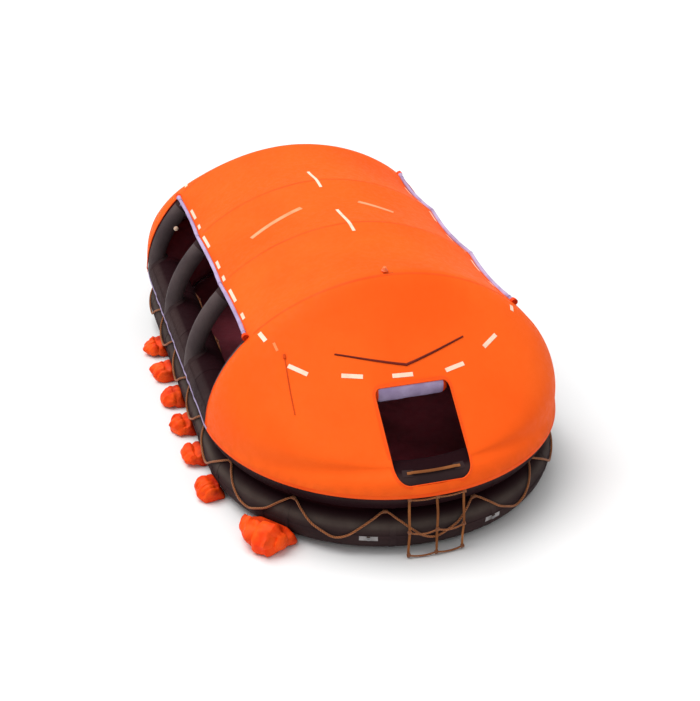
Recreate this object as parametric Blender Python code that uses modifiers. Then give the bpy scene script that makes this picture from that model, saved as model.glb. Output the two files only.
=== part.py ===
"""Inflatable life raft for about fifty people, with two stacked buoyancy tubes and an arched canopy.

Metres, +Z up. The raft stands inflated on a floor at Z = 0, its long axis is Y, and the boarding end
towards -Y and the far end towards +Y are alike. The origin is in the middle, on the floor.
"""

import math

import bmesh
import bpy
from mathutils import Matrix, Vector

# Driving dimensions
LENGTH = 8.20
WIDTH = 4.28
RIDGE_Z = 2.54
TUBE_RADIUS = 0.26
GAP = 0.0003
SKIN = 0.012

# Buoyancy tubes: two rings with half-round ends, one on the other
RING_RADIUS = WIDTH / 2 - TUBE_RADIUS
END_Y = LENGTH / 2 - WIDTH / 2
LOWER_Z = TUBE_RADIUS
UPPER_Z = 3 * TUBE_RADIUS + GAP
RING_STEPS = 18
TUBE_SIDES_RESOLUTION = 4
TUBE_SIDE_HALF_ANGLE = math.radians(15)

# Inflated floor, as thick as half the tube's radius, so that its top edge meets the tube at 30 degrees
FLOOR_THICKNESS = TUBE_RADIUS / 2
FLOOR_RADIUS = RING_RADIUS - TUBE_RADIUS * math.cos(math.radians(30)) - 3 * GAP

# Arches and the canopy that they carry
ARCH_PITCH = 1.45
CREST_Y = 1.5 * ARCH_PITCH
ARCH_RADIUS = 0.115
ARCH_CLEARANCE = 0.0006
ARCH_FOOT_Z = 0.94
END_ARCH_SETBACK = 0.055
SECTION_POWER = 1.9
NOSE_SAG = 0.25
NOSE_SQUARENESS = 1.8
NOSE_SQUARING_POWER = 0.75
SIDE_WRAP = math.radians(10)
NOSE_WRAP = math.radians(75)
CANOPY_CLEARANCE = 0.0045
SECTION_STEPS = 18
LEG_STEPS = 4
BAY_FRACTIONS = (0.0, 0.2, 0.5, 0.8)
ROOF_SAG = 0.035
WRAP_STEPS = 5
RISE_STEPS = 9

# Openings in the canopy
SIDE_OPENING_TOP = 1.92
DOOR_HALF_WIDTH = 0.44
DOOR_BOTTOM = 0.91
DOOR_TOP = 1.62
DOOR_CORNER = 0.13
DOOR_CUT_Y = 2.30

# Rolled curtains, hems and straps
ROLL_RESOLUTION = 8
SIDE_ROLL_RADIUS = 0.05
DOOR_ROLL_RADIUS = 0.055
HEM_THICKNESS = 0.006
SILL_STRAP_RADIUS = 0.014
SILL_STRAP_TURN = math.radians(60)
SILL_STRAP_SPREAD = math.radians(10)
CURTAIN_INSET = 0.02
HEM_TURNS = [math.radians(turn) for turn in (0, 15, 30)]

# Ropes
ROPE_RADIUS = 0.0125
KNOT_RADIUS = 0.030
KNOT_SEAT = 0.0027

# Swags of the lifelines, and the places of one half swag round its tube, in degrees from straight out
OUTER_SWAGS = 20
OUTER_SWAG_TURNS = [45, 22, 4, -6]
INNER_SWAGS = 16
INNER_SWAG_TURNS = [180, 190, 200]

# Boarding ladder: webbing strips, their outer edges from the middle, and the rungs' heights
LADDER_WEB = 0.03
LADDER_SIDE_X = 0.33
LADDER_THICKNESS = 0.008
LADDER_STAND_OFF = 0.050
LADDER_TOP_DROP = 0.008
LADDER_RUNG_Z = (0.34, 0.01)

# Water pockets: places along the left side, from the front, and (kind, angle, size) round the front's left quarter
SIDE_POCKET_Y = (-1.60, -0.90, -0.20, 0.50, 1.20)
END_POCKETS = (("shoulder", math.radians(10), 1.0), ("corner", math.radians(40), 1.7))
POCKET_HALF_LENGTH = 0.19
POCKET_LEDGE = 0.06

# A pocket's corners as (distance out from the tube's side, height); its size scales the outer ones
POCKET_INNER = ((-0.09, 0.0), (-0.035, LOWER_Z / 2), (-0.008, 0.20), (POCKET_LEDGE, 0.20))
POCKET_OUTER = ((0.12, 0.22), (0.20, 0.19), (0.27, 0.10), (0.23, 0.0))

# Its cross-sections as (place along its half length, share of its full depth)
POCKET_STEPS = ((-1.0, 0.55), (-0.55, 1.0), (0.55, 1.0), (1.0, 0.55))

# Patches for the towing bridle, beside the ladders: (thickness, width, height)
PATCH_ANGLE = math.radians(70)
PATCH_SIZE = (0.010, 0.22, 0.10)
PATCH_DROP = 0.02

# Lamp, as (radius, height) up its side
LAMP_PROFILE = ((0.045, 0.0), (0.045, 0.015), (0.032, 0.02), (0.030, 0.045), (0.018, 0.06))
LAMP_SETBACK = 0.05
LAMP_SIDES = 12

# Colours, roughness and metallic values
FINISHES = {
    "tube_rubber": ((0.035, 0.028, 0.028), 0.55, 0.0),
    "floor_fabric": ((0.060, 0.030, 0.035), 0.60, 0.0),
    "arch_fabric": ((0.060, 0.050, 0.050), 0.60, 0.0),
    "canopy_fabric": ((0.95, 0.13, 0.02), 0.55, 0.0),
    "curtain_lining": ((0.42, 0.33, 0.55), 0.60, 0.0),
    "pocket_fabric": ((0.90, 0.07, 0.01), 0.60, 0.0),
    "rope": ((0.30, 0.10, 0.04), 0.80, 0.0),
    "patch_rubber": ((0.40, 0.38, 0.38), 0.60, 0.0),
    "lamp_plastic": ((0.85, 0.82, 0.75), 0.30, 0.0),
}


def clear_scene():
    for item in list(bpy.data.objects):
        bpy.data.objects.remove(item, do_unlink=True)


def new_collection(name):
    collection = bpy.data.collections.new(name)
    bpy.context.scene.collection.children.link(collection)
    return collection


def finish(name):
    """The material of this finish, made at its first use."""
    found = bpy.data.materials.get(name)
    if found:
        return found
    colour, roughness, metallic = FINISHES[name]
    made = bpy.data.materials.new(name)
    made.use_nodes = True
    shader = made.node_tree.nodes["Principled BSDF"]
    shader.inputs["Base Color"].default_value = (*colour, 1.0)
    shader.inputs["Roughness"].default_value = roughness
    shader.inputs["Metallic"].default_value = metallic
    return made


def add(name, data, finish_name, collection="parts"):
    item = bpy.data.objects.new(name, data)
    COLLECTIONS[collection].objects.link(item)
    if finish_name:
        data.materials.append(finish(finish_name))
    return item


def add_mesh(name, mesh_builder, finish_name, collection="parts", smooth=True):
    """An object from a bmesh, its faces pointing out."""
    bmesh.ops.recalc_face_normals(mesh_builder, faces=mesh_builder.faces)
    mesh = bpy.data.meshes.new(name)
    mesh_builder.to_mesh(mesh)
    mesh_builder.free()
    if smooth:
        mesh.shade_smooth()
        mesh.set_sharp_from_angle(angle=math.radians(40))
    return add(name, mesh, finish_name, collection)


def tube(name, points, radius, finish_name, collection="parts", cyclic=False, resolution=1, swell=None):
    """A round tube along the points; swell holds the radius at each point as a multiple of the tube's own."""
    curve = bpy.data.curves.new(name, "CURVE")
    curve.dimensions = "3D"
    curve.bevel_depth = radius
    curve.bevel_resolution = resolution
    curve.use_fill_caps = not cyclic
    spline = curve.splines.new("POLY")
    spline.points.add(len(points) - 1)
    for i, point in enumerate(points):
        spline.points[i].co = (*point, 1.0)
        spline.points[i].radius = swell[i] if swell else 1.0
    spline.use_cyclic_u = cyclic
    spline.use_smooth = True
    return add(name, curve, finish_name, collection)


def as_mesh(item):
    """The curve object made a mesh object with welded caps, in the same place and collection."""
    graph = bpy.context.evaluated_depsgraph_get()
    mesh = bpy.data.meshes.new_from_object(item.evaluated_get(graph))
    builder = bmesh.new()
    builder.from_mesh(mesh)
    bmesh.ops.remove_doubles(builder, verts=builder.verts, dist=1e-5)
    bmesh.ops.recalc_face_normals(builder, faces=builder.faces)
    builder.to_mesh(mesh)
    builder.free()
    name = item.name
    made = bpy.data.objects.new(name + "_mesh", mesh)
    item.users_collection[0].objects.link(made)
    made.matrix_world = item.matrix_world
    bpy.data.objects.remove(item, do_unlink=True)
    made.name = name
    return made


def hide_cutter(item):
    item.hide_render = True
    item.display_type = "WIRE"


def cut(item, cutter, operation="DIFFERENCE"):
    modifier = item.modifiers.new(operation.lower(), "BOOLEAN")
    modifier.operation = operation
    modifier.solver = "EXACT"
    modifier.object = cutter


def stadium(radius):
    """Corners of a ring with half-round ends, as (x, y), counter-clockwise from +X."""
    corners = []
    for end in (1, -1):
        for step in range(RING_STEPS + 1):
            angle = math.pi * step / RING_STEPS
            corners.append((end * radius * math.cos(angle), end * (END_Y + radius * math.sin(angle))))
    return corners


def around_end(radius, angle, z, end=-1):
    """A point at this distance from the end's centre; the angle runs from +X round the nose to -X."""
    return Vector((radius * math.cos(angle), end * (END_Y + radius * math.sin(angle)), z))


def shoulder(wrap, depth):
    """Distance from the ring's centre and height where the canopy leaves the upper tube."""
    reach = TUBE_RADIUS + CANOPY_CLEARANCE + SKIN - depth
    return RING_RADIUS + reach * math.cos(wrap), UPPER_Z + reach * math.sin(wrap)


HALF_SPAN, EAVES_Z = shoulder(SIDE_WRAP, 0.0)
RISE = RIDGE_Z - EAVES_Z


def section(angle, depth):
    """(x, z) on the canopy's cross-section, moved inwards by depth; the angle runs from +X over the ridge."""
    side = math.copysign(1.0, math.cos(angle))
    power = 2 / SECTION_POWER
    across = abs(math.cos(angle)) ** power
    up = abs(math.sin(angle)) ** power
    out_x = across ** (SECTION_POWER - 1) / HALF_SPAN
    out_z = up ** (SECTION_POWER - 1) / RISE
    size = math.hypot(out_x, out_z)
    x = HALF_SPAN * across - depth * out_x / size
    z = EAVES_Z + RISE * up - depth * out_z / size
    return side * x, z


def roof_turns():
    """Angles of the roof's rows of points, from one side opening's top over the ridge to the other's."""
    first = section_angle(SIDE_OPENING_TOP)
    return [first + (math.pi - 2 * first) * step / SECTION_STEPS for step in range(SECTION_STEPS + 1)]


def section_angle(z):
    """The angle at which the cross-section's outer side has this height."""
    return math.asin(((z - EAVES_Z) / RISE) ** (SECTION_POWER / 2))


def strip_faces(builder, first, second):
    """Quads between two rows of vertices."""
    for i in range(len(first) - 1):
        builder.faces.new((first[i], first[i + 1], second[i + 1], second[i]))


def sheet_solid(name, outer, inner, finish_name, poles=None):
    """A closed shell between two grids of points; poles holds the two points where the last rows end."""
    builder = bmesh.new()
    skins = [[[builder.verts.new(point) for point in row] for row in grid] for grid in (outer, inner)]
    for rows in skins:
        for low, high in zip(rows, rows[1:]):
            strip_faces(builder, low, high)
    outside, inside = skins
    strip_faces(builder, outside[0], inside[0])
    for column in (0, -1):
        strip_faces(builder, [row[column] for row in outside], [row[column] for row in inside])
    if poles:
        tips = [builder.verts.new(point) for point in poles]
        for rows, tip in zip(skins, tips):
            last = rows[-1]
            for i in range(len(last) - 1):
                builder.faces.new((last[i], last[i + 1], tip))
        for column in (0, -1):
            builder.faces.new((outside[-1][column], tips[0], tips[1], inside[-1][column]))
    else:
        strip_faces(builder, outside[-1], inside[-1])
    return add_mesh(name, builder, finish_name)


def prism(name, outline, low, high, finish_name, collection="parts", axis="Z"):
    """An outline of (a, b) corners extruded along Z, or along Y with the outline in X and Z."""
    builder = bmesh.new()
    place = {"Z": lambda a, b, c: (a, b, c), "Y": lambda a, b, c: (a, c, b)}[axis]
    face = builder.faces.new([builder.verts.new(place(a, b, low)) for a, b in outline])
    grown = bmesh.ops.extrude_face_region(builder, geom=[face])["geom"]
    moved = [item for item in grown if isinstance(item, bmesh.types.BMVert)]
    bmesh.ops.translate(builder, verts=moved, vec=Vector(place(0, 0, high - low)))
    return add_mesh(name, builder, finish_name, collection, smooth=False)


# Tubes and floor


def make_tubes():
    for name, z in (("buoyancy_tube_lower", LOWER_Z), ("buoyancy_tube_upper", UPPER_Z)):
        path = [(x, y, z) for x, y in stadium(RING_RADIUS)]
        tube(name, path, TUBE_RADIUS, "tube_rubber", cyclic=True, resolution=TUBE_SIDES_RESOLUTION)


def make_floor():
    prism("floor_panel", stadium(FLOOR_RADIUS), 0.0, FLOOR_THICKNESS, "floor_fabric")


# Arches


def arch_places():
    """Name and Y of each arch; the end ones stand inside the canopy's crests."""
    end = CREST_Y - END_ARCH_SETBACK
    inner = ARCH_PITCH / 2
    return (("arch_1", -end), ("arch_2", -inner), ("arch_3", inner), ("arch_4", end))


def make_arches():
    path = [(x, y, UPPER_Z) for x, y in stadium(RING_RADIUS)]
    saddle_radius = TUBE_RADIUS + GAP / math.cos(TUBE_SIDE_HALF_ANGLE)
    saddle = as_mesh(tube("arch_saddle", path, saddle_radius, None, "cutters", True, TUBE_SIDES_RESOLUTION))
    hide_cutter(saddle)
    depth = SKIN + ARCH_CLEARANCE + ARCH_RADIUS
    foot, roof = section_angle(ARCH_FOOT_Z), roof_turns()
    legs = [foot + (roof[0] - foot) * step / LEG_STEPS for step in range(LEG_STEPS)]
    turns = [*legs, *roof, *[math.pi - turn for turn in reversed(legs)]]
    for name, y in arch_places():
        points = []
        for turn in turns:
            x, z = section(turn, depth)
            points.append((x, y, z))
        cut(as_mesh(tube(name, points, ARCH_RADIUS, "arch_fabric", resolution=2)), saddle)


# Canopy


def roof_stations():
    """Y of each row of the roof, and how far its cloth sags there below the arches' line."""
    places = [y for _, y in arch_places()]
    stations = [(-CREST_Y + GAP, 0.0)]
    for start, stop in zip(places, places[1:]):
        for part in BAY_FRACTIONS:
            sag = ROOF_SAG * (1 - math.cos(2 * math.pi * part)) / 2
            stations.append((start + (stop - start) * part, sag))
    return [*stations, (places[-1], 0.0), (CREST_Y - GAP, 0.0)]


def make_roof():
    def grid(depth):
        rows = []
        for y, sag in roof_stations():
            places = [section(turn, depth + sag) for turn in roof_turns()]
            rows.append([(x, y, z) for x, z in places])
        return rows

    sheet_solid("canopy_roof", grid(0.0), grid(SKIN), "canopy_fabric")


def hem_place(angle, share, depth):
    """A point of the front canopy on the upper tube; share is 0 at its hem, 1 where it leaves the tube."""
    wrap = SIDE_WRAP + (NOSE_WRAP - SIDE_WRAP) * math.sin(angle) ** 2
    radius, z = shoulder(wrap * share, depth)
    x = radius * math.cos(angle)
    y = -END_Y - radius * math.sin(angle)
    if y > -CREST_Y - 1e-6:
        x = math.copysign(math.sqrt(radius**2 - (CREST_Y - END_Y) ** 2), x)
        y = -CREST_Y
    return x, y, z


def end_canopy_z(x, y, depth):
    """Height of the front canopy at a place between its crest and where it leaves the tube."""
    low, high = 0.0, math.pi / 2
    for _ in range(40):
        angle = (low + high) / 2
        if hem_place(angle, 1.0, depth)[1] > y:
            low = angle
        else:
            high = angle
    half, _, foot = hem_place(angle, 1.0, depth)
    _, nose_y, nose_z = hem_place(math.pi / 2, 1.0, depth)
    out = (-CREST_Y - y) / (-CREST_Y - nose_y)
    crown = RIDGE_Z - depth - (RIDGE_Z - depth - nose_z) * (out + NOSE_SAG * out * (1 - out))
    power = SECTION_POWER + NOSE_SQUARENESS * out**NOSE_SQUARING_POWER
    aside = min(1.0, abs(x) / max(half, 1e-6))
    return foot + (crown - foot) * (1 - aside**power) ** (1 / power)


def end_canopy_rows(depth):
    """Rows of the front canopy from its hem to just under the ridge, and the ridge point."""
    angles = [math.pi * step / RING_STEPS for step in range(RING_STEPS + 1)]
    shares = [step / WRAP_STEPS for step in range(WRAP_STEPS + 1)]
    rows = [[hem_place(angle, share, depth) for angle in angles] for share in shares]
    feet = rows[-1]
    for step in range(1, RISE_STEPS):
        reach = math.cos(math.pi / 2 * step / RISE_STEPS)
        row = []
        for foot_x, foot_y, _ in feet:
            x, y = foot_x * reach, -CREST_Y + (foot_y + CREST_Y) * reach
            row.append((x, y, end_canopy_z(x, y, depth)))
        rows.append(row)
    return rows, (0.0, -CREST_Y, RIDGE_Z - depth)


def door_outline():
    """Corners of the door in X and Z, round at the bottom."""
    corners = [(DOOR_HALF_WIDTH, DOOR_TOP), (-DOOR_HALF_WIDTH, DOOR_TOP)]
    centre_x = DOOR_HALF_WIDTH - DOOR_CORNER
    centre_z = DOOR_BOTTOM + DOOR_CORNER
    for start, x in ((math.pi, -centre_x), (1.5 * math.pi, centre_x)):
        for step in range(5):
            turn = start + math.pi / 2 * step / 4
            corners.append((x + DOOR_CORNER * math.cos(turn), centre_z + DOOR_CORNER * math.sin(turn)))
    return corners


def make_end_canopies():
    """Two panels at each end, which meet over the door."""
    skins = [end_canopy_rows(depth) for depth in (0.0, SKIN)]
    middle = RING_STEPS // 2
    for end_name, end in (("front", 1), ("back", -1)):
        reach = sorted((-end * DOOR_CUT_Y, -end * LENGTH))
        door = prism(f"canopy_door_{end_name}", door_outline(), *reach, None, "cutters", "Y")
        hide_cutter(door)
        for side_name, side in (("left", -1), ("right", 1)):
            columns = slice(0, middle + 1) if side > 0 else slice(middle, None)
            grids, tips = [], []
            for rows, tip in skins:
                kept = [row[columns] for row in rows]
                grids.append([[(side * max(GAP, side * x), end * y, z) for x, y, z in row] for row in kept])
                tips.append((side * GAP, end * tip[1], tip[2]))
            panel = sheet_solid(f"canopy_{end_name}_{side_name}", *grids, "canopy_fabric", tips)
            cut(panel, door)


# Curtains, hems and straps


def make_side_curtains():
    """The rolled curtain under each side of the roof, outside the arches, and the hem that it buttons to."""
    turn = section_angle(SIDE_OPENING_TOP)
    edge_x, edge_z = section(turn, 0.0)
    deep_x, deep_z = section(turn, 1.0)
    inward = Vector((deep_x - edge_x, deep_z - edge_z))
    down = Vector((-inward.y, inward.x))
    reach = SIDE_ROLL_RADIUS - SKIN
    drop = math.sqrt(SIDE_ROLL_RADIUS**2 - reach**2) + GAP
    centre = Vector((edge_x, edge_z)) - reach * inward + drop * down
    half = CREST_Y - CURTAIN_INSET
    for name, side in (("side_curtain_left", -1), ("side_curtain_right", 1)):
        ends = [(side * centre.x, y, centre.y) for y in (-half, half)]
        tube(name, ends, SIDE_ROLL_RADIUS, "curtain_lining", resolution=ROLL_RESOLUTION)


def make_side_hems():
    """The strip along each side of the upper tube, bent with the tube's first facet round the ends."""
    half = CREST_Y - GAP
    straight = END_Y + TUBE_RADIUS * math.sin(math.pi / RING_STEPS / 4)
    inset = (half - straight) * math.tan(math.pi / RING_STEPS / 2)
    rows = ((-half, inset), (-straight, 0.0), (straight, 0.0), (half, inset))
    for name, side in (("side_hem_left", -1), ("side_hem_right", 1)):
        grids = []
        for reach in (TUBE_RADIUS + 2 * GAP + HEM_THICKNESS, TUBE_RADIUS + 2 * GAP):
            arc = [(reach * math.cos(turn), UPPER_Z + reach * math.sin(turn)) for turn in HEM_TURNS]
            grids.append([[(side * (RING_RADIUS + x - bend), y, z) for x, z in arc] for y, bend in rows])
        sheet_solid(name, *grids, "curtain_lining")


def front_canopy_y(x, z):
    """Y of the front canopy's outer side at this X and height, by halving the range of Y."""
    low, high = hem_place(math.pi / 2, 1.0, 0.0)[1], -CREST_Y
    for _ in range(40):
        y = (low + high) / 2
        if end_canopy_z(x, y, 0.0) < z:
            low = y
        else:
            high = y
    return y


def make_door_curtains():
    z = DOOR_TOP - DOOR_ROLL_RADIUS - GAP
    y = front_canopy_y(0.0, DOOR_TOP + SKIN / 2)
    half = DOOR_HALF_WIDTH - CURTAIN_INSET / 2
    for name, end in (("door_curtain_front", 1), ("door_curtain_back", -1)):
        ends = [(x, end * y, z) for x in (-half, half)]
        tube(name, ends, DOOR_ROLL_RADIUS, "curtain_lining", resolution=ROLL_RESOLUTION)


def make_sill_straps():
    """The strap across each door, laid on the upper tube's shoulder."""
    reach = TUBE_RADIUS + GAP + SILL_STRAP_RADIUS
    radius = RING_RADIUS + reach * math.cos(SILL_STRAP_TURN)
    z = UPPER_Z + reach * math.sin(SILL_STRAP_TURN)
    for name, end in (("sill_strap_front", -1), ("sill_strap_back", 1)):
        points = [around_end(radius, math.pi / 2 + SILL_STRAP_SPREAD * step, z, end) for step in (-1, 0, 1)]
        tube(name, points, SILL_STRAP_RADIUS, "rope")


# Ropes


def ring_place(distance, radius, end_scale):
    """(x, y) at this distance along the tubes' ring, moved to a radius that is scaled round the ends."""
    half_end = math.pi * RING_RADIUS
    straight = 2 * END_Y
    lap = 2 * (half_end + straight)
    distance %= lap
    sign = 1
    if distance >= lap / 2:
        distance -= lap / 2
        sign = -1
    if distance < half_end:
        angle = distance / RING_RADIUS
        radius *= end_scale
        return sign * radius * math.cos(angle), sign * (END_Y + radius * math.sin(angle))
    return -sign * radius, sign * (END_Y - (distance - half_end))


def make_lifeline(name, centre_z, swags, turns, end_scale, seat):
    """A rope lashed to a tube at the swags' ends; turns holds its places round the tube, first the lashing.

    The lashings lie half a swag to each side of the ring's start, so that none is under a ladder. Each lies
    closer to the tube by seat, because both are faceted.
    """
    lap = 2 * (math.pi * RING_RADIUS + 2 * END_Y)
    path = turns + turns[-2:0:-1]
    points, swell = [], []
    for swag in range(swags):
        for step, turn in enumerate(path):
            distance = lap * (swag + 0.5 + step / len(path)) / swags
            turn = math.radians(turn)
            reach = TUBE_RADIUS + 2 * GAP + KNOT_RADIUS - (seat if step == 0 else 0.0)
            x, y = ring_place(distance, RING_RADIUS + reach * math.cos(turn), end_scale)
            points.append((x, y, centre_z + reach * math.sin(turn)))
            swell.append(KNOT_RADIUS / ROPE_RADIUS if step == 0 else 1.0)
    tube(name, points, ROPE_RADIUS, "rope", cyclic=True, resolution=1, swell=swell)


def make_lifelines():
    crease = math.degrees(math.acos(math.sqrt(1 - (TUBE_RADIUS / (TUBE_RADIUS + KNOT_RADIUS)) ** 2)))
    make_lifeline("lifeline_outer", LOWER_Z, OUTER_SWAGS, [crease, *OUTER_SWAG_TURNS], 1.0, KNOT_SEAT)
    inside_chord = math.cos(math.pi / 2 / RING_STEPS)
    make_lifeline("lifeline_inner", UPPER_Z, INNER_SWAGS, INNER_SWAG_TURNS, inside_chord, GAP)


# Boarding ladders


def ladder_rows():
    """(z, distance from the end's centre) down the ladder; its top lies flat on the upper tube."""
    lean = math.tan(TUBE_SIDE_HALF_ANGLE)
    top = UPPER_Z - LADDER_TOP_DROP
    rows = [(z, WIDTH / 2 + 2 * GAP - (UPPER_Z - z) * lean) for z in (top, top - LADDER_WEB)]
    out = WIDTH / 2 + LADDER_STAND_OFF
    for z in LADDER_RUNG_Z:
        rows += [(z + LADDER_WEB, out), (z, out)]
    return rows


def make_ladders():
    edges = [-LADDER_SIDE_X, -LADDER_SIDE_X + LADDER_WEB, -LADDER_WEB / 2]
    edges += [-x for x in reversed(edges)]
    rows = ladder_rows()
    for name, end in (("boarding_ladder_front", -1), ("boarding_ladder_back", 1)):
        builder = bmesh.new()
        grid = []
        for z, radius in rows:
            depths = [end * (END_Y + math.sqrt(radius**2 - x**2)) for x in edges]
            grid.append([builder.verts.new((x, y, z)) for x, y in zip(edges, depths)])
        for r in range(len(rows) - 1):
            for c in range(len(edges) - 1):
                if r % 2 == 0 or c % 2 == 0:
                    corners = (grid[r][c], grid[r][c + 1], grid[r + 1][c + 1], grid[r + 1][c])
                    builder.faces.new(corners if end < 0 else corners[::-1])
        mesh = bpy.data.meshes.new(name)
        builder.to_mesh(mesh)
        builder.free()
        ladder = add(name, mesh, "rope")
        thick = ladder.modifiers.new("webbing", "SOLIDIFY")
        thick.thickness = LADDER_THICKNESS
        thick.offset = -1.0


# Water pockets


def pocket_section(size, share):
    """A pocket's cross-section beside the lower tube, as (x, z), narrowed to its share of the depth."""
    side = WIDTH / 2 + 2 * GAP + POCKET_LEDGE * (1 - share)
    corners = [*POCKET_INNER, *[(out * size, z * size) for out, z in POCKET_OUTER]]
    return [(side + (out * share if out > 0 else out), z * (1 + share) / 2) for out, z in corners]


def make_pocket(name, place, size=1.0):
    """A ballast bag splayed on the floor; place moves a bag at +X, beside the origin, to where it hangs."""
    half = POCKET_HALF_LENGTH * size
    builder = bmesh.new()
    rows = []
    for along, share in POCKET_STEPS:
        places = [Vector((x, along * half, z)) for x, z in pocket_section(size, share)]
        rows.append([builder.verts.new(place @ point) for point in places])
    for first, second in zip(rows, rows[1:]):
        strip_faces(builder, [*first, first[0]], [*second, second[0]])
    builder.faces.new(rows[0])
    builder.faces.new(rows[-1])
    add_mesh(name, builder, "pocket_fabric")


def make_pockets():
    """Half a turn brings the left side's and the front's bags to the right side and the back."""
    for side_name, end_name, side in (("left", "front", -1), ("right", "back", 1)):
        turn = Matrix.Rotation(0 if side > 0 else math.pi, 4, "Z")
        for number, y in enumerate(SIDE_POCKET_Y, 1):
            make_pocket(f"water_pocket_{side_name}_{number}", Matrix.Translation((0, -side * y, 0)) @ turn)
        for kind, angle, size in END_POCKETS:
            place = Matrix.Translation((0, side * END_Y, 0)) @ Matrix.Rotation(angle, 4, "Z") @ turn
            make_pocket(f"water_pocket_{kind}_{end_name}_{side_name}", place, size)


# Patches and lamps


def make_patches():
    thick, wide, high = PATCH_SIZE
    for end_name, end in (("front", -1), ("back", 1)):
        for side_name, side in (("left", -1), ("right", 1)):
            builder = bmesh.new()
            bmesh.ops.create_cube(builder, size=1.0)
            bmesh.ops.scale(builder, vec=(thick, wide, high), verts=builder.verts)
            reach = WIDTH / 2 + 2 * GAP + thick / 2
            angle = PATCH_ANGLE if side > 0 else math.pi - PATCH_ANGLE
            place = Matrix.Translation(around_end(reach, angle, LOWER_Z - PATCH_DROP, end))
            spin = Matrix.Rotation(end * angle, 4, "Z")
            bmesh.ops.transform(builder, matrix=place @ spin, verts=builder.verts)
            add_mesh(f"tow_patch_{end_name}_{side_name}", builder, "patch_rubber", smooth=False)


def turned(name, profile, place, finish_name):
    """A turned piece; its profile runs from the foot's middle to the top, as (radius, height)."""
    builder = bmesh.new()
    rings = []
    for radius, height in profile:
        ring = []
        for step in range(LAMP_SIDES):
            turn = 2 * math.pi * step / LAMP_SIDES
            ring.append(builder.verts.new((radius * math.cos(turn), radius * math.sin(turn), height)))
        rings.append(ring)
    for low, high in zip(rings, rings[1:]):
        strip_faces(builder, [*low, low[0]], [*high, high[0]])
    builder.faces.new(rings[0])
    builder.faces.new(rings[-1])
    bmesh.ops.translate(builder, verts=builder.verts, vec=Vector(place))
    return add_mesh(name, builder, finish_name)


def make_lamps():
    turned("canopy_lamp", LAMP_PROFILE, (0.0, -CREST_Y + LAMP_SETBACK, RIDGE_Z + 2 * GAP), "lamp_plastic")


clear_scene()
COLLECTIONS = {"parts": new_collection("life_raft"), "cutters": new_collection("cutters")}
make_tubes()
make_floor()
make_arches()
make_roof()
make_end_canopies()
make_side_curtains()
make_side_hems()
make_door_curtains()
make_sill_straps()
make_lifelines()
make_ladders()
make_pockets()
make_patches()
make_lamps()
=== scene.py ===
"""Looks of the inflatable life raft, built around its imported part."""

import contextlib
import math

import bmesh
import bpy
import numpy as np
from mathutils import Matrix, Vector
from mathutils.bvhtree import BVHTree


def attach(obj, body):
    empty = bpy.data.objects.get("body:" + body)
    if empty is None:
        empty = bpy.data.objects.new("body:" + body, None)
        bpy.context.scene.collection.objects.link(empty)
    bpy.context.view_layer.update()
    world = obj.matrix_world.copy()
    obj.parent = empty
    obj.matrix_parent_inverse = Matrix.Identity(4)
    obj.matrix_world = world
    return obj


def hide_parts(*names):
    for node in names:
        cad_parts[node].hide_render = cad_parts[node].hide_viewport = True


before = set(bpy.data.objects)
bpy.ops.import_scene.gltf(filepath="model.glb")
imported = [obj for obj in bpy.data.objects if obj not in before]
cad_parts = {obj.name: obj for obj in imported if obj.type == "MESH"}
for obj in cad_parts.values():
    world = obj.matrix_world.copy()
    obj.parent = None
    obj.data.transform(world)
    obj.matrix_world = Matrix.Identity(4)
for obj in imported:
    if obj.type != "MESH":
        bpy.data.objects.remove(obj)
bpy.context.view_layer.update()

# Sizes repeated from the part, in metres
HALF_WIDTH, TUBE_RADIUS, GAP, SKIN = 4.28 / 2, 0.26, 0.0003, 0.012
RING_RADIUS = HALF_WIDTH - TUBE_RADIUS
END_Y = 1.96
LOWER_Z, UPPER_Z = TUBE_RADIUS, 3 * TUBE_RADIUS + GAP
FLOOR_THICKNESS = 0.13
FLOOR_RADIUS = RING_RADIUS - TUBE_RADIUS * math.cos(math.radians(30)) - 3 * GAP
RIDGE_Z, CREST_Y = 2.54, 2.175
OUTER_ARCH_Y, INNER_ARCH_Y = 2.12, 0.725
ARCHES = (("arch_1", -OUTER_ARCH_Y), ("arch_2", -INNER_ARCH_Y), ("arch_3", INNER_ARCH_Y), ("arch_4", OUTER_ARCH_Y))
ARCH_RADIUS, ARCH_CLEARANCE = 0.115, 0.0006
SECTION_POWER = 1.9
NOSE_SAG, NOSE_SQUARENESS, NOSE_SQUARING_POWER = 0.25, 1.8, 0.75
SIDE_WRAP, NOSE_WRAP = math.radians(10), math.radians(75)
CANOPY_REACH = TUBE_RADIUS + 0.0045 + SKIN
SIDE_OPENING_TOP = 1.92
DOOR_HALF_WIDTH, DOOR_BOTTOM, DOOR_TOP = 0.44, 0.91, 1.62
ROLL_RADIUS = 0.034
KNOT_RADIUS = 0.030
OUTER_SWAGS, INNER_SWAGS = 20, 16
LADDER_SIDE_X, LADDER_STAND_OFF = 0.315, 0.050
LADDER_RAILS_X = (-LADDER_SIDE_X, 0.0, LADDER_SIDE_X)
LAP = 2 * (math.pi * RING_RADIUS + 2 * END_Y)
UP = np.array([0.0, 0.0, 1.0])
CABIN_MIDDLE = np.array([0.0, 0.0, 0.6])
CANOPIES = ("canopy_roof", "canopy_front_left", "canopy_front_right", "canopy_back_left", "canopy_back_right")
ENDS = (("front", -1), ("back", 1))
SIDES = (("left", -1), ("right", 1))


# Seeded noise over arrays of points


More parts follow.
